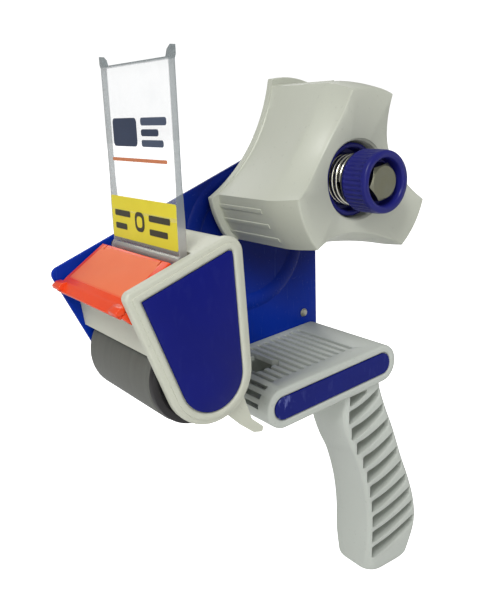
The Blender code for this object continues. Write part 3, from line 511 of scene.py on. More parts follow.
def guardPlastic(name):
    # A matt orange field inside a glossy red-orange border and lip.
    g = Finish(name)
    x, y, z = g.axes()
    along = (x - guardTop.x) * slopeDir.x + (z - guardTop.z) * slopeDir.z
    border = ((y + 4.6).above(0.0, 0.5) + (-48.6 - y).above(0.0, 0.5)
              + (1.6 - along).above(0.0, 0.4) + (along - 18.6).above(0.0, 0.8))
    border = border.maths("MINIMUM", 1.0)
    cloud = g.noise(14.0, 3.0)
    grain = g.noise(0.5, 2.0)
    field = g.tones(cloud, (238, 124, 82), (230, 112, 70))
    edge = g.tones(cloud, (238, 78, 30), (226, 66, 22))
    g.surface(Base_Color=g.mix(border, field, edge), Roughness=(1.0 - border) * 0.18 + grain * 0.08 + 0.20,
              Normal=g.bump(grain * (1.0 - border * 0.8), 0.012))
    g.surface(Coat_Weight=border * 0.12, Coat_Roughness=0.2, Specular_IOR_Level=0.3)
    g.surface(Subsurface_Weight=0.12, Subsurface_Radius=(0.004, 0.0015, 0.0006))
    return g.material


def clearSheet(name):
    # Clear sheet: nearly invisible on its faces, with light caught along its cut edges.
    g = Finish(name)
    x, y, z = g.axes()
    side = (y + 3.3).above(0.0, 0.35) + (-50.9 - y).above(0.0, 0.35) + (z - 43.4).above(0.0, 0.35)
    side = side.maths("MINIMUM", 1.0)
    smear = g.noise(12.0, 4.0).above(0.56, 0.12)
    hair = g.noise(0.35, 2.0, g.stretched(1.0, 0.05, 1.0)).above(0.72, 0.02)
    base = 1.0 - z.above(-8.0, 9.0)
    tone = g.tones(side, (232, 238, 240), (124, 134, 136))
    tone = g.mix(base * 0.5, tone, linear(205, 196, 186))
    g.surface(Base_Color=tone, Roughness=smear * 0.06 + hair * 0.1 + 0.04,
              Alpha=side * 0.62 + smear * 0.04 + hair * 0.05 + base * 0.10 + 0.12)
    g.surface(Coat_Weight=1.0, Coat_Roughness=0.03, IOR=1.58)
    return g.material


def printedFilm(name, colour, dark, gloss=0.3):
    g = Finish(name)
    cloud = g.noise(9.0, 3.0)
    grain = g.noise(0.3, 2.0)
    g.surface(Base_Color=g.tones(cloud, colour, dark), Roughness=grain * 0.1 + gloss,
              Normal=g.bump(grain, 0.004))
    return g.material


print("materials")
warmGrey = mouldedPlastic("housingGrey", (200, 202, 187), (190, 192, 176))
coolGrey = mouldedPlastic("handleGrey", (192, 197, 190), (181, 186, 178), 0.44)
hubGrey = mouldedPlastic("hubGrey", (194, 197, 184), (184, 187, 173), 0.40)
# The second colour is the plate's paint in painted shade, used round the hub.
platePaint = paintedSteel("platePaint", (4, 46, 158), (6, 20, 88))
navyCheek = inlay("navyCheek", (18, 25, 116), (14, 20, 96))
navyDeck = inlay("navyDeck", (24, 33, 116), (18, 25, 94), -34.0)
knobBlue = bluePlastic("knobBlue", (32, 34, 118), (24, 26, 98))
cupBlue = bluePlastic("cupBlue", (32, 34, 124), (22, 24, 96))
zinc = metal("zincPlate", (176, 178, 172), 0.32)
boltSteel = metal("boltSteel", (122, 124, 114), 0.30)
bladeSteel = metal("bladeSteel", (188, 192, 196), 0.30, (1.0, 0.05, 1.0), 0.05)
springSteel = metal("springSteel", (208, 208, 202), 0.24)
rubber = rollerRubber("rollerRubber")
blackPlastic = mouldedPlastic("rollerBlack", (30, 27, 30), (20, 18, 20), 0.45)
bushPlastic = mouldedPlastic("bushPlastic", (214, 214, 206), (200, 200, 190), 0.5)
guardOrange = guardPlastic("guardOrange")
clearFlap = clearSheet("clearFlap")


# Side plate with its pressed bead.
print("side plate")
deck = {"centre": (-11.0, -83.3), "tilt": 5.2, "length": 71.6, "height": 16.8, "corner": 8.1,
        "width": 48.7, "wall": 2.4, "rim": 3.4, "panelDepth": 1.1, "slots": 12, "pitch": 3.95,
        "slotWidth": 1.7, "nearBorder": 8.6, "farBorder": 4.0, "skin": 0.8, "boss": 3.8}


def deckPoint(along, up):
    a = math.radians(deck["tilt"])
    return (deck["centre"][0] + along * math.cos(a) - up * math.sin(a),
            deck["centre"][1] + along * math.sin(a) + up * math.cos(a))


deckScrewAlongs = (-deck["length"] / 2 + deck["corner"] + 3.5, deck["length"] / 2 - deck["corner"] - 2.5)
housingScrewPlaces = [(-67.6, -19.0), (onSlope(14.5, 10.3).x, onSlope(14.5, 10.3).z)]
plate = {"beadCentre": (-18.5, -27.5), "beadInner": 24.5, "beadOuter": 32.0, "beadHeight": 0.9,
         "beadSkin": 0.8, "pad": 12.0, "padHeight": 1.3, "front": (-108.5, -27.8), "bottom": -77.8,
         "rear": 21.7}
# Radii of the holes in the plate and the mouldings.
holeRadius = {"spindle": 4.3, "axle": 3.3, "guardPin": 1.3, "flapPin": 1.5, "screw": 2.1, "rivet": 1.8}


def buildPlate():
    low = -deck["height"] / 2 + 1.2
    outline = rounded([
        (*plate["front"], 3.0), (rollerX - 5.8, plate["bottom"], 15.0),
        (-58.0, plate["bottom"], 6.0), (*deckPoint(-deck["length"] / 2 + 5.0, low), 4.0),
        (plate["rear"], deckPoint(deck["length"] / 2 - 3.0, low)[1], 5.0), (plate["rear"], 23.4, 16.0)], 10)
    body = softened(prism(outline, 0.0, plateFar), 0.35, 60)
    inner, outer, height = plate["beadInner"], plate["beadOuter"], plate["beadHeight"]
    skin = plate["beadSkin"]
    crown = []
    hollow = []
    for i in range(9):
        share = i / 8
        lift = math.sin(math.pi * share) ** 0.7
        crown.append((inner + (outer - inner) * share, -height * lift - 0.02))
        hollow.append((inner + skin + (outer - inner - 2 * skin) * share, plateFar + 0.02 - height * lift))
    body = fuse(body, turned([(inner, 0.4)] + crown + [(outer, 0.4)], 96, *plate["beadCentre"]))
    body = cut(body, turned([(inner + skin, plateFar + 0.5)] + hollow + [(outer - skin, plateFar + 0.5)],
                            96, *plate["beadCentre"]))
    pad, padHeight = plate["pad"], plate["padHeight"]
    body = fuse(body, roundBar([(pad - 0.8, -padHeight), (pad - 0.3, -padHeight + 0.3), (pad, 0.3)], 64))
    holes = [rod(holeRadius["spindle"], -5, 5), rod(holeRadius["axle"], -5, 5, rollerX, rollerZ),
             rod(holeRadius["guardPin"], -5, 5, guardPin.x, guardPin.z, 16),
             rod(holeRadius["flapPin"], -5, 5, flapX, flapPinZ, 16)]
    rivetX, rivetZ = deckPoint(deck["length"] / 2 - deck["corner"] - 2.0, deck["height"] / 2 + 5.6)
    holes.append(rod(holeRadius["rivet"], -5, 5, rivetX, rivetZ, 16))
    for x, z in [deckPoint(along, 0) for along in deckScrewAlongs] + housingScrewPlaces:
        holes.append(rod(holeRadius["screw"], -5, 5, x, z, 20))
    body = cut(body, joined(*holes))
    makePiece("sidePlate", body, platePaint, "frame", ["side_plate"])


buildPlate()

# Front housing: cheek, cover, blade shelf, front wall and tape guide.
print("front housing")
housing = {"rim": 4.4, "panelDepth": 1.1, "panelThickness": 0.8, "cover": 2.4, "shelf": 2.4, "wall": 1.8,
           "flapRoom": 2.7, "rollerRoom": 0.8, "wallDrop": 10.6, "boss": 3.4, "axleBoss": 5.6}


def cheekLoft(levels, inward=0.0):
    return loft([level(hullOutline(cheekCorners, 18, inward + inset), y) for y, inset in levels])


def cheekPanelBody():
    front = cheekOuter + housing["panelDepth"] - fitGap
    near = front - housing["panelThickness"]
    return cheekLoft([(near, 0.55), (near + 0.12, 0.38), (near + 0.3, fitGap), (front, fitGap)],
                     housing["rim"])


def buildHousing():
    # The cheek's rim is stepped: a raised inner line, then a lower band, then the rounded edge.
    body = cheekLoft([(cheekOuter, 2.35), (cheekOuter + 0.08, 2.1), (cheekOuter + 0.55, 1.95),
                      (cheekOuter + 0.6, 1.75), (cheekOuter + 0.6, 1.0), (cheekOuter + 0.75, 0.5),
                      (cheekOuter + 1.1, 0.12), (cheekOuter + 1.6, 0.0), (cheekInner - 0.4, 0.0),
                      (cheekInner, 0.35)])
    far = -fitGap
    near = cheekInner - 0.5
    topX, topZ, topR = cheekCorners[1]
    tipX, tipZ, tipR = cheekCorners[2]
    span = math.hypot(topX - tipX, topZ - tipZ)
    lean = math.atan2(topZ - tipZ, topX - tipX) + math.asin((topR - tipR) / span)
    radius = topR - 0.7 - housing["cover"] / 2
    bend = arc(topX, topZ, radius, math.degrees(lean) + 90, 0, 14)
    frontX = flapX + housing["flapRoom"]
    rise = (bend[0][0] - frontX) * math.tan(lean)
    path = [(frontX, bend[0][1] - rise)] + bend + [(bend[-1][0] + 0.5, bend[-1][1] - 9.0)]
    cover = prism(ribbon(path, housing["cover"]), near, far)
    shelfDrop = guardDrop + bladeThickness + fitGap + housing["shelf"] / 2
    shelfRear = onSlope(4.9, shelfDrop)
    shelfFront = onSlope(18.4, shelfDrop)
    drop = housing["wallDrop"]
    clear = rollerRadius + housing["rollerRoom"] + housing["wall"]
    wallX = rollerX - math.sqrt(clear ** 2 - drop ** 2) + 0.9
    shelf = prism(ribbon([(shelfRear.x, shelfRear.z), (shelfFront.x, shelfFront.z)], housing["shelf"]),
                  near, far)
    wall = prism(ribbon([(shelfFront.x + 0.6, shelfFront.z), (wallX, rollerZ + drop)], housing["wall"]),
                 near, far)
    gx, gz = cheekCorners[0][0] + cheekCorners[0][2] - 4.2, cheekCorners[0][1] - 12.0
    guide = [(gx, gz), (gx + 0.1, gz - 1.8), (gx + 0.4, gz - 3.6), (gx + 1.0, gz - 5.6), (gx + 1.9, gz - 7.5),
             (gx + 3.0, gz - 9.3), (gx + 4.5, gz - 11.0), (gx + 6.3, gz - 12.6), (gx + 8.4, gz - 14.0)]
    guide = prism(ribbon(guide, 2.6, 2.0), near, far)
    web = prism(rounded([(gx - 7.0, gz - 1.0, 0.8), (gx - 5.4, gz - 5.0, 1.5), (gx + 0.8, gz - 11.2, 1.0),
                         (gx + 5.0, gz - 14.6, 1.0), (gx + 9.0, gz - 15.6, 0.9), (gx + 9.6, gz - 13.6, 0.7),
                         (gx + 4.4, gz - 9.0, 1.5), (gx + 1.2, gz + 0.6, 1.0), (gx - 2.0, gz + 3.6, 0.8)], 4),
                cheekInner - 1.6, cheekInner + 0.6)
    body = fuse(body, cover, shelf, wall, guide, web)
    for x, z in housingScrewPlaces:
        body = fuse(body, rod(housing["boss"], -16.0, far, x, z, 28))
    body = fuse(body, rod(housing["axleBoss"], cheekInner - 0.5, cheekInner + 1.0, rollerX, rollerZ, 32))
    floor = cheekOuter + housing["panelDepth"]
    pocket = cheekLoft([(cheekOuter - 0.6, -1.25), (cheekOuter - 0.02, -0.85), (cheekOuter + 0.18, -0.4),
                        (cheekOuter + 0.5, -0.08), (cheekOuter + 0.7, 0.0), (floor, 0.0)], housing["rim"])
    # The pins end in blind holes behind the panel.
    blind = floor + 1.0
    holes = [rod(holeRadius["axle"], blind, 0, rollerX, rollerZ),
             rod(holeRadius["guardPin"], blind, cheekInner + 1, guardPin.x, guardPin.z, 16),
             rod(holeRadius["flapPin"], blind, cheekInner + 1, flapX, flapPinZ, 16)]
    for x, z in housingScrewPlaces:
        holes.append(rod(holeRadius["screw"], -13.0, 1, x, z, 20))
    body = cut(body, pocket, joined(*holes))
    makePiece("frontHousing", body, warmGrey, "frame", ["front_housing"], bevel=0.3)
    makePiece("cheekPanel", cheekPanelBody(), navyCheek, "frame", ["cheek_panel"])


buildHousing()

# Blade guard.
print("guard")
guard = {"thickness": 1.8, "length": 21.0, "far": -1.8, "near": cheekInner + 1.4, "reach": 2.8, "drop": 3.1,
         "barrel": 2.3, "barrelLength": 15.0, "slitInset": 5.0, "slitWidth": 0.8, "pinHole": 1.4}


def buildGuard():
    far, near = guard["far"], guard["near"]
    half = guard["thickness"] / 2
    ridge = onSlope(guard["length"], half)
    start = onSlope(0.4, half)
    lip = (ridge.x - guard["reach"], ridge.z - guard["drop"])
    before = onSlope(guard["length"] - 1.6, half)
    path = [(start.x, start.z), (before.x, before.z), (before.x - 1.0, before.z - 0.8),
            (ridge.x - 0.75, ridge.z - 0.55), (ridge.x - 1.4, ridge.z - 1.5), lip]
    sheet = prism(ribbon(path, guard["thickness"], guard["thickness"] - 0.3), near, far)
    sheet = softened(sheet, 0.5, 60)
    barrel, reach = guard["barrel"], guard["barrelLength"]
    body = fuse(sheet, rod(barrel, far - reach, far - 0.2, guardPin.x, guardPin.z, 32),
                rod(barrel, near + 0.2, near + reach, guardPin.x, guardPin.z, 32))
    for y0, y1 in ((far - 5.0, far + 1.2), (near - 0.8, near + 5.0)):
        ear = prism(rounded([(ridge.x - 0.4, ridge.z + 0.8, 0.3), (ridge.x - 1.2, ridge.z - 1.6, 0.3),
                             (lip[0] - 1.2, lip[1] + 1.0, 0.4), (lip[0] - 1.6, lip[1] + 2.4, 0.6),
                             (ridge.x - 2.6, ridge.z + 0.6, 0.6)], 4), y0, y1)
        body = fuse(body, softened(ear, 0.35, 50))
    # A leg runs down beside the near cheek.
    leg = prism(rounded([(ridge.x + 0.4, ridge.z - 0.2, 0.3), (lip[0] + 0.4, lip[1] + 0.6, 0.8),
                         (lip[0] + 3.6, lip[1] - 2.4, 1.5), (lip[0] + 7.2, lip[1] - 3.9, 0.6),
                         (lip[0] + 7.4, lip[1] - 2.2, 0.5), (ridge.x + 3.4, ridge.z - 2.4, 1.0)], 4),
                near - 0.6, near + 1.8)
    body = fuse(body, softened(leg, 0.3, 50))
    slits = []
    slit = guard["slitWidth"] / 2
    low = onSlope(-1.0, guard["thickness"] + 0.4)
    for y in (far - guard["slitInset"], near + guard["slitInset"]):
        slits.append(block((low.x - 4.6, y - slit, low.z - 2.4), (low.x + 3.0, y + slit, low.z + 6.0)))
    body = cut(body, joined(*slits), rod(guard["pinHole"], near - 2, far + 2, guardPin.x, guardPin.z, 20))
    makePiece("bladeGuard", body, guardOrange, "guard", ["blade_guard"], bevel=0.15)


buildGuard()

# Clear flap with a yellow label and plain printed bars.
print("flap")
flap = {"far": -2.8, "near": cheekInner + 2.6, "top": 44.0, "thin": 2.1, "thick": 2.8, "ear": 3.4,
        "barrel": 2.5, "pinHole": 1.6, "thinFrom": 14.0, "thinOver": 12.0}


def flapThickness(z):
    share = min(max((z - flapPinZ - flap["thinFrom"]) / flap["thinOver"], 0.0), 1.0)
    return flap["thick"] + (flap["thin"] - flap["thick"]) * share


def flapPrint(name, material, y0, y1, z0, z1, corner, lift=0.03, thickness=0.06):
    # A printed area that lies on the front face of the flap.
    outline = roundedBox(y0, y1, z0, z1, corner, 4)
    rings = []
    for offset in (lift, lift + thickness):
        rings.append([(flapX - flapThickness(z) / 2 - offset, y, z) for y, z in outline])
    makePiece(name, loft(rings), material, "tape_flap", [])


def buildFlap():
    far, near, top = flap["far"], flap["near"], flap["top"]
    rings = []
    for z in (flapPinZ, flapPinZ + 14.0, flapPinZ + 20.0, flapPinZ + 26.0, top):
        thick = flapThickness(z)
        rings.append([(flapX - thick / 2, far, z), (flapX - thick / 2, near, z),
                      (flapX + thick / 2, near, z), (flapX + thick / 2, far, z)])
    body = fuse(loft(rings), rod(flap["barrel"], near, far, flapX, flapPinZ, 32))
    for edge, inward in ((far, -1), (near, 1)):
        outer = edge - inward * 0.9
        ear = [(outer, top + flap["ear"]), (edge + inward * 1.2, top + flap["ear"] * 0.62),
               (edge + inward * 2.4, top - 0.4), (edge, top - 0.8), (outer, top + 0.6)]
        body = fuse(body, loft([[(x, y, z) for y, z in ear] for x in (flapX - 1.0, flapX + 1.0)]))
    body = cut(body, rod(flap["pinHole"], near - 2, far + 2, flapX, flapPinZ, 20))
    makePiece("clearFlap", body, clearFlap, "tape_flap", ["flap"], bevel=0.2)
    yellow = printedFilm("labelYellow", (232, 220, 44), (222, 208, 36))
    ink = printedFilm("labelInk", (58, 56, 34), (48, 46, 30), 0.4)
    slate = printedFilm("printSlate", (44, 58, 84), (34, 46, 70), 0.35)
    slateSoft = printedFilm("printGrey", (70, 82, 104), (60, 72, 94), 0.35)
    amber = printedFilm("printAmber", (206, 128, 84), (196, 116, 74), 0.35)
    flapPrint("flapLabel", yellow, far - 0.5, near + 0.6, -17.0, -1.5, 0.8)
    # Rows of plain bars on the label, and a ring between them.
    for row, z in enumerate((-6.6, -11.4)):
        flapPrint(f"labelBarFar{row}", ink, -6.0, -18.0 + row * 3.0, z - 2.2, z, 0.5, 0.10, 0.04)
        flapPrint(f"labelBarNear{row}", ink, -32.0, -46.5 + row * 2.0, z - 2.2, z, 0.5, 0.10, 0.04)
    flapPrint("labelPatch", ink, -21.5, -28.5, -13.2, -6.2, 2.6, 0.10, 0.04)
    flapPrint("labelPatchHole", yellow, -23.0, -27.0, -11.7, -7.7, 1.4, 0.15, 0.03)
    # Generic stripes on the clear part.
    for name, material, y0, y1, z0, z1, corner in (
            ("stripeBlock", slate, -9.0, -27.0, 16.4, 26.0, 1.6),
            ("stripeLong", slateSoft, -30.0, -47.5, 23.4, 26.0, 1.0),
            ("stripeMiddle", slate, -30.0, -42.0, 19.9, 22.2, 1.0),
            ("stripeShort", slateSoft, -30.0, -45.0, 16.4, 18.7, 1.0),
            ("stripeAmber", amber, -7.0, -46.5, 11.2, 12.4, 0.5)):
        flapPrint(name, material, y0, y1, z0, z1, corner, 0.03, 0.05)


buildFlap()

# Roller.
print("roller")
roller = {"far": -3.2, "near": cheekInner + 4.4, "rubber": 3.5, "edge": 0.8, "bore": 3.4}


def buildRoller():
    far, near = roller["far"], roller["near"]
    inner = rollerRadius - roller["rubber"]
    edge = roller["edge"]
    profile = [(inner, near), *arc(rollerRadius - edge, near + edge, edge, -90, 0, 4),
               *arc(rollerRadius - edge, far - edge, edge, 0, 90, 4), (inner, far)]
    makePiece("rollerSleeve", turned(profile, 96, rollerX, rollerZ), rubber, "roller", ["roller_sleeve"],
              smooth=30)
    flange = rollerRadius - 0.3
    flangeNear, flangeFar = cheekInner + 1.6, near - fitGap
    hubRadius = inner - fitGap
    bore, end = roller["bore"], far + 0.5
    core = turned([(bore, flangeNear), (7.0, flangeNear), (7.4, flangeNear + 0.5),
                   (flange - 3.0, flangeNear + 0.5), (flange - 2.6, flangeNear), (flange - 0.7, flangeNear),
                   (flange - 0.2, flangeNear + 0.25), (flange, flangeNear + 0.7), (flange, flangeFar),
                   (hubRadius, flangeFar), (hubRadius, end),
                   (8.9, end), (8.9, far - 4.0), (5.6, far - 4.0), (5.6, end), (bore, end)],
                  80, rollerX, rollerZ)
    makePiece("rollerCore", core, blackPlastic, "roller", ["roller_core"], smooth=30)


buildRoller()

# Three-lobed hub.
print("hub")
hub = {"phase": 84.9, "far": -4.9, "length": 50.0, "laneWidth": 21.7, "radius": 37.7, "nearRadius": 35.1,
       "taper": 12.8, "rim": 3.2, "wall": 2.6, "dip": 5.5, "webs": (22.02, 25.49, 21.0), "ribs": 3,
       "ribPitch": 9.5, "recess": 15.2, "floor": -38.3, "bossWall": 2.6, "bore": 6.9, "groove": (9.3, 15.4)}
hubNear = hub["far"] - hub["length"]
hubKink = hubNear + hub["taper"]


def hubRing(radius, web, shrink=0.0, lobeSteps=14, webSteps=28):
    outline = []
    radius -= shrink
    web -= shrink
    half = math.degrees(math.asin((hub["laneWidth"] / 2 - shrink) / radius))
    for lobe in range(3):
        middle = hub["phase"] + 120 * lobe
        outline += arc(0, 0, radius, middle - half, middle + half, lobeSteps)
        span = math.radians(60 - half)
        chordHalf = radius * math.sin(span)
        sag = radius * math.cos(span) - web
        big = (chordHalf ** 2 + sag ** 2) / (2 * sag)
        bisector = math.radians(middle + 60)
        opening = math.asin(chordHalf / big)
        for i in range(1, webSteps):
            a = opening * (1 - 2 * i / webSteps)
            x = web + big - big * math.cos(a)
            z = -big * math.sin(a)
            outline.append((x * math.cos(bisector) - z * math.sin(bisector),
                            x * math.sin(bisector) + z * math.cos(bisector)))
    return outline


def nearEdgeY(x, z):
    share = (math.hypot(x, z) - hub["webs"][2]) / (hub["nearRadius"] - hub["webs"][2])
    return hubNear + hub["dip"] * (1 - max(0.0, min(1.0, share)))


def buildHub():
    rimY = hub["far"] - 1.6
    farY = hub["far"] + 1.5
    webFar, webMid, webNear = hub["webs"]
    # The taper starts a little before the kink, so that the shoulder is soft.
    shoulder = hubKink + 3.0
    start = rimY - 0.4
    rings = []
    for y, grow in ((farY, -0.5), (farY - 0.3, -0.1), (farY - 0.7, 0.0), (rimY + 0.6, 0.0),
                    (rimY + 0.25, -0.1), (rimY, -0.45)):
        rings.append(level(hubRing(hub["radius"] + hub["rim"] + grow, webFar + 0.8 + grow * 0.3), y))
    rings.append(level(hubRing(hub["radius"] + 0.4, webFar + 0.4), rimY))
    rings.append(level(hubRing(hub["radius"], webFar), start))
    for i in range(1, 9):
        share = i / 8
        rings.append(level(hubRing(hub["radius"], webFar + (webMid - webFar) * share),
                           start + (shoulder - start) * share))
    outer = hubRing(hub["radius"], webMid)
    inner = hubRing(hub["nearRadius"], webNear)
    for i in range(1, 9):
        share = i / 8
        eased = share ** 1.5
        ring = []
        for (x0, z0), (x1, z1) in zip(outer, inner):
            y = shoulder + (nearEdgeY(x1, z1) + 0.7 - shoulder) * share
            ring.append((x0 + (x1 - x0) * eased, y, z0 + (z1 - z0) * eased))
        rings.append(ring)
    for pull, down in ((0.12, 0.34), (0.4, 0.08), (0.9, 0.0)):
        ring = []
        for x, z in inner:
            r = math.hypot(x, z)
            shrink = (r - pull) / r
            ring.append((x * shrink, nearEdgeY(x, z) + down + pull * 0.02, z * shrink))
        rings.append(ring)
    for share in (0.25, 0.5, 0.75, 1.0):
        ring = []
        for x, z in inner:
            r = math.hypot(x, z)
            target = r - 0.9 + (hub["recess"] - 1.5 - r + 0.9) * share
            start = nearEdgeY(x, z) + 0.04
            ring.append((x * target / r, start + (hubNear + hub["dip"] - start) * share, z * target / r))
        rings.append(ring)
    body = loft(rings)
    bmesh.ops.triangulate(body, faces=[face for face in body.faces if len(face.verts) > 4])
    hollow = loft([level(hubRing(hub["radius"], web, hub["wall"]), y)
                   for y, web in ((farY + 1, webFar), (hubKink + 4, webFar + 2.0))])
    bmesh.ops.triangulate(hollow, faces=hollow.faces)
    mouth = hub["recess"]
    boss = rod(mouth + hub["bossWall"], hubKink - 5, hub["far"] + 1.3, steps=64)
    body = cut(body, cut(hollow, boss))
    edge = hubNear + hub["dip"]
    recess = roundBar([(mouth, hub["floor"]), (mouth, edge + 0.9), (mouth + 0.25, edge + 0.4),
                       (mouth + 0.9, edge - 0.1), (mouth + 0.9, hubNear - 2)], 80)
    body = cut(body, rod(hub["bore"], hub["floor"] - 3, farY + 2, steps=48), recess)
    # A groove from the far end leaves a tube round the bush.
    tube, wall = hub["groove"]
    grooveEnd = hub["floor"] + 3.0
    body = cut(body, turned([(tube, grooveEnd), (wall, grooveEnd), (wall, farY + 2), (tube, farY + 2)], 64))
    ribs = []
    for lobe in range(3):
        middle = hub["phase"] + 120 * lobe
        for i in range(hub["ribs"]):
            turn = middle + (i - 1) * hub["ribPitch"]
            ribFar = rimY - 0.2
            section = [(hub["radius"] + up, side) for up, side in
                       ((-1.0, -1.0), (-0.05, -1.0), (0.24, -0.8), (fitGap, -0.5), (fitGap, 0.5), (0.24, 0.8),
                        (-0.05, 1.0), (-1.0, 1.0))]
            rib = prism(section, ribFar - hub["length"] * 0.56 - 2.0 * i, ribFar)
            bmesh.ops.transform(rib, matrix=Matrix.Rotation(-math.radians(turn), 4, "Y"), verts=rib.verts)
            ribs.append(rib)
    body = fuse(body, joined(*ribs))
    makePiece("tapeHub", body, hubGrey, "tape_hub", ["hub"], smooth=32)


buildHub()

# Brake: cup, spring, washer and knob.
print("brake")
brake = {"cupRadius": 14.35, "cupWall": 2.0, "cupHeight": 8.3, "spring": 9.6, "wire": 1.6, "turns": 3.5,
         "washer": 10.8, "washerBore": 4.4, "washerThickness": 1.3, "knob": 12.1, "knobRear": -52.6,
         "knobLength": 12.6, "recess": 9.0, "flutes": 40, "head": 5.2, "headTurn": 12.0, "flats": 13.0,
         "bore": 4.3, "shank": 4.0, "shankEnd": 11.1, "travel": 2.5}


def flutedRing(depth):
    ring = []
    count = brake["flutes"] * 6
    for i in range(count):
        a = 2 * math.pi * i / count
        r = brake["knob"] - depth * (0.5 - 0.5 * math.cos(brake["flutes"] * a)) ** 1.5
        ring.append((r * math.cos(a), r * math.sin(a)))
    return ring


def buildBrake():
    cupFar = hub["floor"] - fitGap
    cupNear = cupFar - brake["cupHeight"]
    floor = cupFar - brake["cupWall"]
    radius, wall = brake["cupRadius"], brake["cupWall"]
    inner = radius - wall
    lip = [(radius - wall / 2 + wall / 2 * math.cos(a), cupNear + 0.9 - 0.9 * math.sin(a))
           for a in [math.pi * i / 8 for i in range(9)]]
    cup = turned([(brake["bore"], cupFar), (radius - 0.5, cupFar), (radius - 0.1, cupFar - 0.2),
                  (radius, cupFar - 0.6), *lip, (inner, floor - 0.8), (inner - 0.3, floor - 0.2),
                  (inner - 0.9, floor), (brake["bore"], floor)], 80)
    makePiece("brakeCup", cup, cupBlue, "frame", ["brake_cup"], smooth=40)
    rear = brake["knobRear"]
    washerFar = rear + fitGap + brake["washerThickness"]
    start = floor - fitGap - brake["wire"] / 2
    end = washerFar + fitGap + brake["wire"] / 2
    coil = brake["spring"]
    steps = int(brake["turns"] * 40)
    path = []
    for i in range(steps + 1):
        share = i / steps
        a = 2 * math.pi * brake["turns"] * share
        path.append((coil * math.cos(a), start + (end - start) * share, coil * math.sin(a)))
    spring = makePiece("brakeSpring", wireAlong(path, brake["wire"] / 2, 14), springSteel, "frame",
                       ["brake_spring"])
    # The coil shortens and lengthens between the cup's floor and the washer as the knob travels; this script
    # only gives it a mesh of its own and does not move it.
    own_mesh(spring)
    outer, bore = brake["washer"], brake["washerBore"]
    washer = turned([(bore, rear + 0.4), (outer - 0.2, rear + 0.4), (outer, rear + 0.55),
                     (outer, washerFar - 0.15), (outer - 0.2, washerFar), (bore, washerFar)], 72)
    makePiece("brakeWasher", washer, zinc, "brake_slider", ["brake_washer"], smooth=30)
    front = rear - brake["knobLength"]
    seat = front + brake["head"] + 1.4
    # Each row of the knob: its place, how far it stands out and how deep its flutes are.
    rings = []
    for y, grow, depth in ((rear, -0.9, 0), (rear - 0.3, -0.45, 0), (rear - 0.9, -0.3, 0), (rear - 1.4, 0, 0.1),
                           (rear - 1.9, 0, 0.55), (front + 2.6, 0, 0.55), (front + 2.1, 0, 0.1),
                           (front + 1.5, -0.15, 0), (front + 0.7, -0.25, 0), (front + 0.25, -0.5, 0),
                           (front, -1.0, 0)):
        scale = (brake["knob"] + grow) / brake["knob"]
        rings.append([(x * scale, y, z * scale) for x, z in flutedRing(depth)])
    knob = loft(rings)
    recess = brake["recess"]
    hollow = roundBar([(recess - 0.5, seat), (recess - 0.1, seat - 0.15), (recess, seat - 0.5),
                       (recess, front + 1.0), (recess + 0.2, front + 0.45), (recess + 0.75, front - 0.02),
                       (recess + 0.75, front - 2)], 72)
    knob = cut(knob, hollow, rod(brake["bore"], seat - 3, rear + 3, steps=40))
    makePiece("brakeKnob", knob, knobBlue, "brake_screw", ["brake_knob"], smooth=42)
    # Hexagon head with its turned chamfer, and the plain shank.
    headFar = seat - fitGap
    headNear = headFar - brake["head"]
    across = brake["flats"] / math.sqrt(3)
    turn = brake["headTurn"]
    head = prism(arc(0, 0, across, turn, turn + 300, 5), headNear - 0.2, headFar)
    dome = roundBar([(brake["flats"] / 2 - 0.5, headNear), (across + 0.1, headNear + 0.95),
                     (across + 0.6, headFar + 0.5)], 72)
    head = combine(head, dome, "INTERSECT")
    shank, end = brake["shank"], brake["shankEnd"]
    shank = roundBar([(shank, headFar - 0.5), (shank, end - 0.4), (shank - 0.4, end)], 40)
    makePiece("spindleBolt", fuse(head, shank), boltSteel, "brake_screw", ["spindle_bolt"], bevel=0.12,
              smooth=25, angle=40)


buildBrake()

# Handle: slotted deck and pistol grip.
print("handle")
grip = {"near": -47.6, "width": 23.6, "corner": 2.4, "length": 91.0, "foot": 5.8, "pockets": 11, "first": 1.8,
        "pitch": 8.1, "height": 6.2, "narrowing": 0.22, "rise": 7.2, "depth": 10.2, "wall": 2.3,
        "root": deck["height"] / 2 - deck["centre"][1],
        "front": [(-3.7, 7.8), (12.3, 7.0), (24.3, 10.8), (34.3, 15.6), (50.3, 20.1), (66.3, 22.0),
                  (80.3, 21.8), (92.5, 21.9)],
        "rear": [(-7.7, 27.4), (0.3, 28.6), (10.3, 32.2), (23.3, 37.8), (39.3, 43.8), (53.3, 49.6),
                 (66.3, 53.6), (78.3, 54.6), (92.5, 51.0)]}


def smoothValue(knots, at):
    last = len(knots) - 1
    if at <= knots[0][0]:
        return knots[0][1]
    if at >= knots[last][0]:
        return knots[last][1]
    slopes = []
    for i in range(last + 1):
        a = knots[max(i - 1, 0)]
        b = knots[min(i + 1, last)]
        slopes.append((b[1] - a[1]) / (b[0] - a[0]))
    for i in range(last):
        x0, v0 = knots[i]
        x1, v1 = knots[i + 1]
        if at <= x1:
            w = x1 - x0
            t = (at - x0) / w
            return ((2 * t ** 3 - 3 * t ** 2 + 1) * v0 + (t ** 3 - 2 * t ** 2 + t) * w * slopes[i]
                    + (3 * t ** 2 - 2 * t ** 3) * v1 + (t ** 3 - t ** 2) * w * slopes[i + 1])


def gripEdge(side, z):
    return deck["centre"][0] + smoothValue(grip[side], -z - grip["root"])


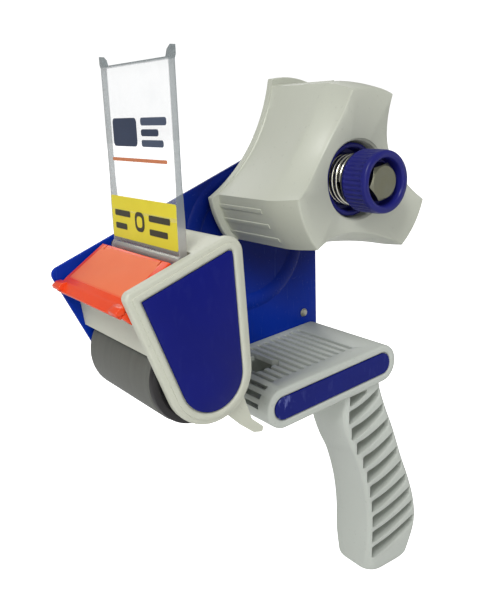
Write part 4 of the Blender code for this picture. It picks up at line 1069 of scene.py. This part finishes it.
def gripRing(z, front, rear, near, far):
    halfX = (rear - front) / 2
    halfY = (far - near) / 2
    # The corners grow softer towards the foot.
    foot = max(0.0, 1.0 - (z + grip["root"] + grip["length"] + grip["foot"]) / 22.0)
    corner = min(grip["corner"] + 5.0 * foot ** 1.5, halfX * 0.8, halfY * 0.8)
    flat = roundedBox(-halfX, halfX, -halfY, halfY, corner, 8)
    return [((front + rear) / 2 + x, (near + far) / 2 + y, z) for x, y in flat]


def buildGrip():
    top = deckPoint(0, -deck["height"] / 2 + 1.6)[1]
    bottom = -grip["root"] - grip["length"]
    near = grip["near"]
    far = near + grip["width"]
    rings = []
    for i in range(41):
        z = top + (bottom - top) * i / 40
        rings.append(gripRing(z, gripEdge("front", z), gripEdge("rear", z), near, far))
    middle = (gripEdge("front", bottom) + gripEdge("rear", bottom)) / 2
    halfX = (gripEdge("rear", bottom) - gripEdge("front", bottom)) / 2
    middleY = (near + far) / 2
    for i in range(1, 9):
        a = math.pi / 2 * i / 8.4
        share = 0.25 + 0.75 * math.cos(a)
        halfY = grip["width"] / 2 * (0.45 + 0.55 * math.cos(a))
        centre = middle + (1 - math.cos(a)) * 1.6
        rings.append(gripRing(bottom - grip["foot"] * math.sin(a), centre - halfX * share,
                              centre + halfX * share, middleY - halfY, middleY + halfY))
    return loft(rings)


def deckUnder(x):
    tilt = math.radians(deck["tilt"])
    return deck["centre"][1] + (x - deck["centre"][0]) * math.tan(tilt) - deck["height"] / 2 / math.cos(tilt)


def pocketCutter(index, nearSide):
    # A curved pocket that rises to the rear; the edge of its mouth is eased.
    startZ = -grip["root"] - grip["first"] - grip["pitch"] * index
    near = grip["near"]
    far = near + grip["width"]
    x0 = gripEdge("front", startZ) + grip["wall"]
    x1 = gripEdge("rear", startZ + grip["rise"]) - grip["wall"]
    levels = ((near - 3, 0.4), (near - 0.02, 0.4), (near + 0.12, 0.2), (near + 0.4, 0.03), (near + 0.8, 0.0),
              (near + grip["depth"], -0.2))
    if not nearSide:
        levels = [(near + far - y, grow) for y, grow in levels]
    rings = []
    for y, grow in levels:
        upper = []
        lower = []
        for i in range(17):
            share = i / 16
            x = x0 - grow + (x1 - x0 + 2 * grow) * share
            z = startZ + grip["rise"] * share ** 1.6
            # The ends are rounded off with a small radius.
            ends = 1.0 - 0.16 * (max(0.0, 1.0 - share * 16) + max(0.0, share * 16 - 15.0))
            half = grip["height"] / 2 * (1.0 - grip["narrowing"] * share) * ends
            ceiling = deckUnder(x) - 1.0
            if ceiling - (z - half) < 1.5:
                break
            upper.append((x, y, min(z + half + grow, ceiling)))
            lower.append((x, y, z - half - grow))
        rings.append(lower + upper[::-1])
    count = min(len(ring) for ring in rings) // 2
    return loft([ring[:count] + ring[-count:] for ring in rings])


def deckOutline(inset=0.0, steps=12):
    halfX = deck["length"] / 2 - inset
    halfZ = deck["height"] / 2 - inset
    flat = roundedBox(-halfX, halfX, -halfZ, halfZ, deck["corner"] - inset, steps)
    return [deckPoint(x, z) for x, z in flat]


def deckLoft(levels, steps=12):
    return loft([level(deckOutline(inset, steps), y) for y, inset in levels])


def onDeck(plan, up):
    # A flat outline laid in the deck's slope, at a height above its middle.
    return [(deckPoint(along, up)[0], y, deckPoint(along, up)[1]) for along, y in plan]


def slotCutters():
    cutters = []
    near = -fitGap - deck["width"] + deck["nearBorder"]
    far = -fitGap - deck["farBorder"]
    first = -deck["length"] / 2 + deck["corner"] + 2.0
    half = deck["slotWidth"] / 2
    low = deck["height"] / 2 - deck["wall"] - 1.5
    high = deck["height"] / 2
    for i in range(deck["slots"]):
        along = first + deck["pitch"] * i
        rings = []
        for up, grow in ((low, 0.0), (high - 0.45, 0.0), (high - 0.12, 0.12), (high + 0.05, 0.4),
                         (high + 2, 0.5)):
            plan = roundedBox(along - half - grow, along + half + grow, near - grow, far + grow,
                              half + grow - 0.02, 5)
            rings.append(onDeck(plan, up))
        cutters.append(loft(rings))
    # Three wider slots fan round the front end.
    centre = -deck["length"] / 2 + deck["corner"]
    inner, outer = deck["corner"] - deck["wall"] - 1.5, deck["corner"] + 2
    for i in range(3):
        a = math.radians(112 + 29 * i)
        corners = []
        for r, side in ((inner, -1), (outer, -1), (outer, 1), (inner, 1)):
            across = side * deck["slotWidth"] * 0.6
            corners.append(deckPoint(centre + r * math.cos(a) - math.sin(a) * across,
                                     r * math.sin(a) + math.cos(a) * across))
        cutters.append(prism(corners, near - 2.0, far))
    return cutters


def windowCutter():
    # The window in the deck's top, with a small point in its rear edge.
    x = -deck["length"] / 2 + deck["corner"] + 3.0
    plan = rounded([(x, -13.0, 0.6), (x + 12.0, -13.0, 0.6), (x + 12.0, -23.0, 0.5), (x + 14.0, -25.5, 0.5),
                    (x + 12.0, -28.0, 0.5), (x, -28.0, 0.6)], 3)
    rings = []
    for up in (deck["height"] / 2 - deck["wall"] - 1.0, deck["height"] / 2 + 2):
        rings.append(onDeck(plan, up))
    return loft(rings)


def buildHandle():
    far = -fitGap
    near = far - deck["width"]
    shell = deckLoft([(near, 0.9), (near + 0.12, 0.5), (near + 0.4, 0.15), (near + 0.9, 0.0), (far, 0.0)], 14)
    shell = fuse(shell, buildGrip())
    shell = cut(shell, deckLoft([(near + deck["panelDepth"] + deck["wall"], deck["wall"]),
                                 (far - deck["skin"], deck["wall"])], 8))
    for along in deckScrewAlongs:
        x, z = deckPoint(along, 0)
        low = deckPoint(along, -deck["height"] / 2 + deck["wall"] / 2)[1]
        high = deckPoint(along, deck["height"] / 2 - deck["wall"] / 2)[1]
        shell = fuse(shell, rod(deck["boss"], -18.0, far, x, z, 28),
                     block((x - 0.9, -16.0, low), (x + 0.9, far - 0.2, high)))
    rim = deck["rim"]
    shell = cut(shell, deckLoft([(near - 0.6, rim - 1.2), (near - 0.02, rim - 0.8), (near + 0.18, rim - 0.35),
                                 (near + 0.5, rim - 0.05), (near + 0.7, rim),
                                 (near + deck["panelDepth"], rim)], 14))
    shell = cut(shell, joined(*slotCutters()))
    shell = cut(shell, windowCutter())
    shell = cut(shell, joined(*[rod(holeRadius["screw"], -14.0, 2, *deckPoint(along, 0), 20)
                                for along in deckScrewAlongs]))
    for nearSide in (True, False):
        shell = cut(shell, joined(*[pocketCutter(i, nearSide) for i in range(grip["pockets"])]))
    makePiece("handle", shell, coolGrey, "frame", ["handle"], smooth=36)
    depth = near + deck["panelDepth"] - fitGap
    panel = deckLoft([(depth - 0.8, rim + 0.55), (depth - 0.68, rim + 0.4), (depth - 0.5, rim + fitGap),
                      (depth, rim + fitGap)], 14)
    makePiece("deckPanel", panel, navyDeck, "frame", ["deck_panel"])


buildHandle()

# The CAD nodes that stay get their finish here.
print("fasteners")
zincNodes = ["plate_rivet", "blade_screw_1", "blade_screw_2", "guard_pin", "flap_pin", "roller_axle",
             "axle_nut", "hub_washer", "spindle_nut", "handle_screw_1", "handle_screw_2", "housing_screw_1",
             "housing_screw_2"]
keptNodes = {"blade": bladeSteel, "guard_spring": springSteel, "hub_bush": bushPlastic,
             **dict.fromkeys(zincNodes, zinc)}
for nodeName, finish in keptNodes.items():
    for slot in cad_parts[nodeName].material_slots:
        slot.material = finish

# Camera, floor and lights.
print("camera and lights")
cameraSettings = {"azimuth": -37.223, "elevation": 14.771, "roll": -1.658,
                  "centre": (-197.079, -247.683, 25.936), "lens": 52.02, "shiftX": -0.0501, "shiftY": -0.0039}


def addCamera():
    az = math.radians(cameraSettings["azimuth"])
    el = math.radians(cameraSettings["elevation"])
    roll = math.radians(cameraSettings["roll"])
    right = Vector((math.cos(az), math.sin(az), 0))
    back = Vector((math.sin(az) * math.cos(el), -math.cos(az) * math.cos(el), math.sin(el)))
    up = back.cross(right)
    right, up = (right * math.cos(roll) + up * math.sin(roll), up * math.cos(roll) - right * math.sin(roll))
    data = bpy.data.cameras.new("camera")
    data.sensor_fit = "HORIZONTAL"
    data.sensor_width = 36.0
    data.lens = cameraSettings["lens"]
    data.shift_x = cameraSettings["shiftX"]
    data.shift_y = cameraSettings["shiftY"]
    data.clip_start = 0.01
    camera = bpy.data.objects.new("camera", data)
    bpy.context.collection.objects.link(camera)
    place = Matrix((right, up, back)).transposed().to_4x4()
    place.translation = (Vector(cameraSettings["centre"]) - gripMiddle) * 0.001
    camera.matrix_world = place
    bpy.context.scene.camera = camera


def addLight(name, place, aim, size, power):
    data = bpy.data.lights.new(name, "AREA")
    data.shape = "RECTANGLE"
    data.size, data.size_y = size
    data.energy = power
    light = bpy.data.objects.new(name, data)
    bpy.context.collection.objects.link(light)
    light.location = place
    light.rotation_euler = (Vector(aim) - Vector(place)).to_track_quat("-Z", "Y").to_euler()


stage = {"room": 0.36, "backdrop": 1.05, "floorGlow": 1.0, "floorHalf": 6.0, "floorDrop": 0.012}
# Each light's place and aim in metres, the size of its panel and its power in watts.
lights = {"key": ((-0.75, -0.45, 0.95), (-0.05, 0, 0.08), (0.45, 0.45), 8.5),
          "front": ((-0.5, -1.1, 0.35), (-0.05, 0, 0.06), (0.5, 0.7), 2.6),
          "fill": ((0.9, -0.7, 0.05), (0, 0, 0.0), (0.8, 0.8), 1.0),
          "rear": ((0.3, 0.9, 0.8), (0, 0, 0.1), (0.8, 0.5), 2.5)}


def addStage():
    g = Finish("floorWhite")
    cloud = g.noise(300.0, 2.0)
    g.surface(Base_Color=g.mix(cloud, (0.93, 0.93, 0.93, 1.0), (0.90, 0.90, 0.90, 1.0)), Roughness=0.9)
    seen = g.node("ShaderNodeLightPath", {}, {}, "Is Camera Ray")
    black, white = (0.0, 0.0, 0.0, 1.0), (1.0, 1.0, 1.0, 1.0)
    g.surface(Emission_Color=g.mix(seen, black, white),
              Emission_Strength=stage["floorGlow"])
    bm = bmesh.new()
    bmesh.ops.create_grid(bm, x_segments=1, y_segments=1, size=stage["floorHalf"])
    bmesh.ops.translate(bm, vec=(0, 0, frameBox[0][2] - stage["floorDrop"]), verts=bm.verts)
    mesh = bpy.data.meshes.new("floor")
    bm.to_mesh(mesh)
    bm.free()
    mesh.materials.append(g.material)
    floor = bpy.data.objects.new("floor", mesh)
    bpy.context.collection.objects.link(floor)
    # The room lights the object softly, and shows white behind it.
    world = bpy.data.worlds.new("studio")
    g = Graph(world)
    g.tree.nodes.remove(g.tree.nodes["Background"])
    room, backdrop = [g.node("ShaderNodeBackground", {}, {"Color": white, "Strength": stage[key]})
                      for key in ("room", "backdrop")]
    seen = g.node("ShaderNodeLightPath", {}, {}, "Is Camera Ray")
    g.feed(g.tree.nodes["World Output"].inputs["Surface"],
           g.node("ShaderNodeMixShader", {}, {0: seen, 1: room, 2: backdrop}))
    bpy.context.scene.world = world


bpy.context.scene.view_settings.view_transform = "Standard"
addCamera()
addStage()
for lightName, settings in lights.items():
    addLight(lightName, *settings)
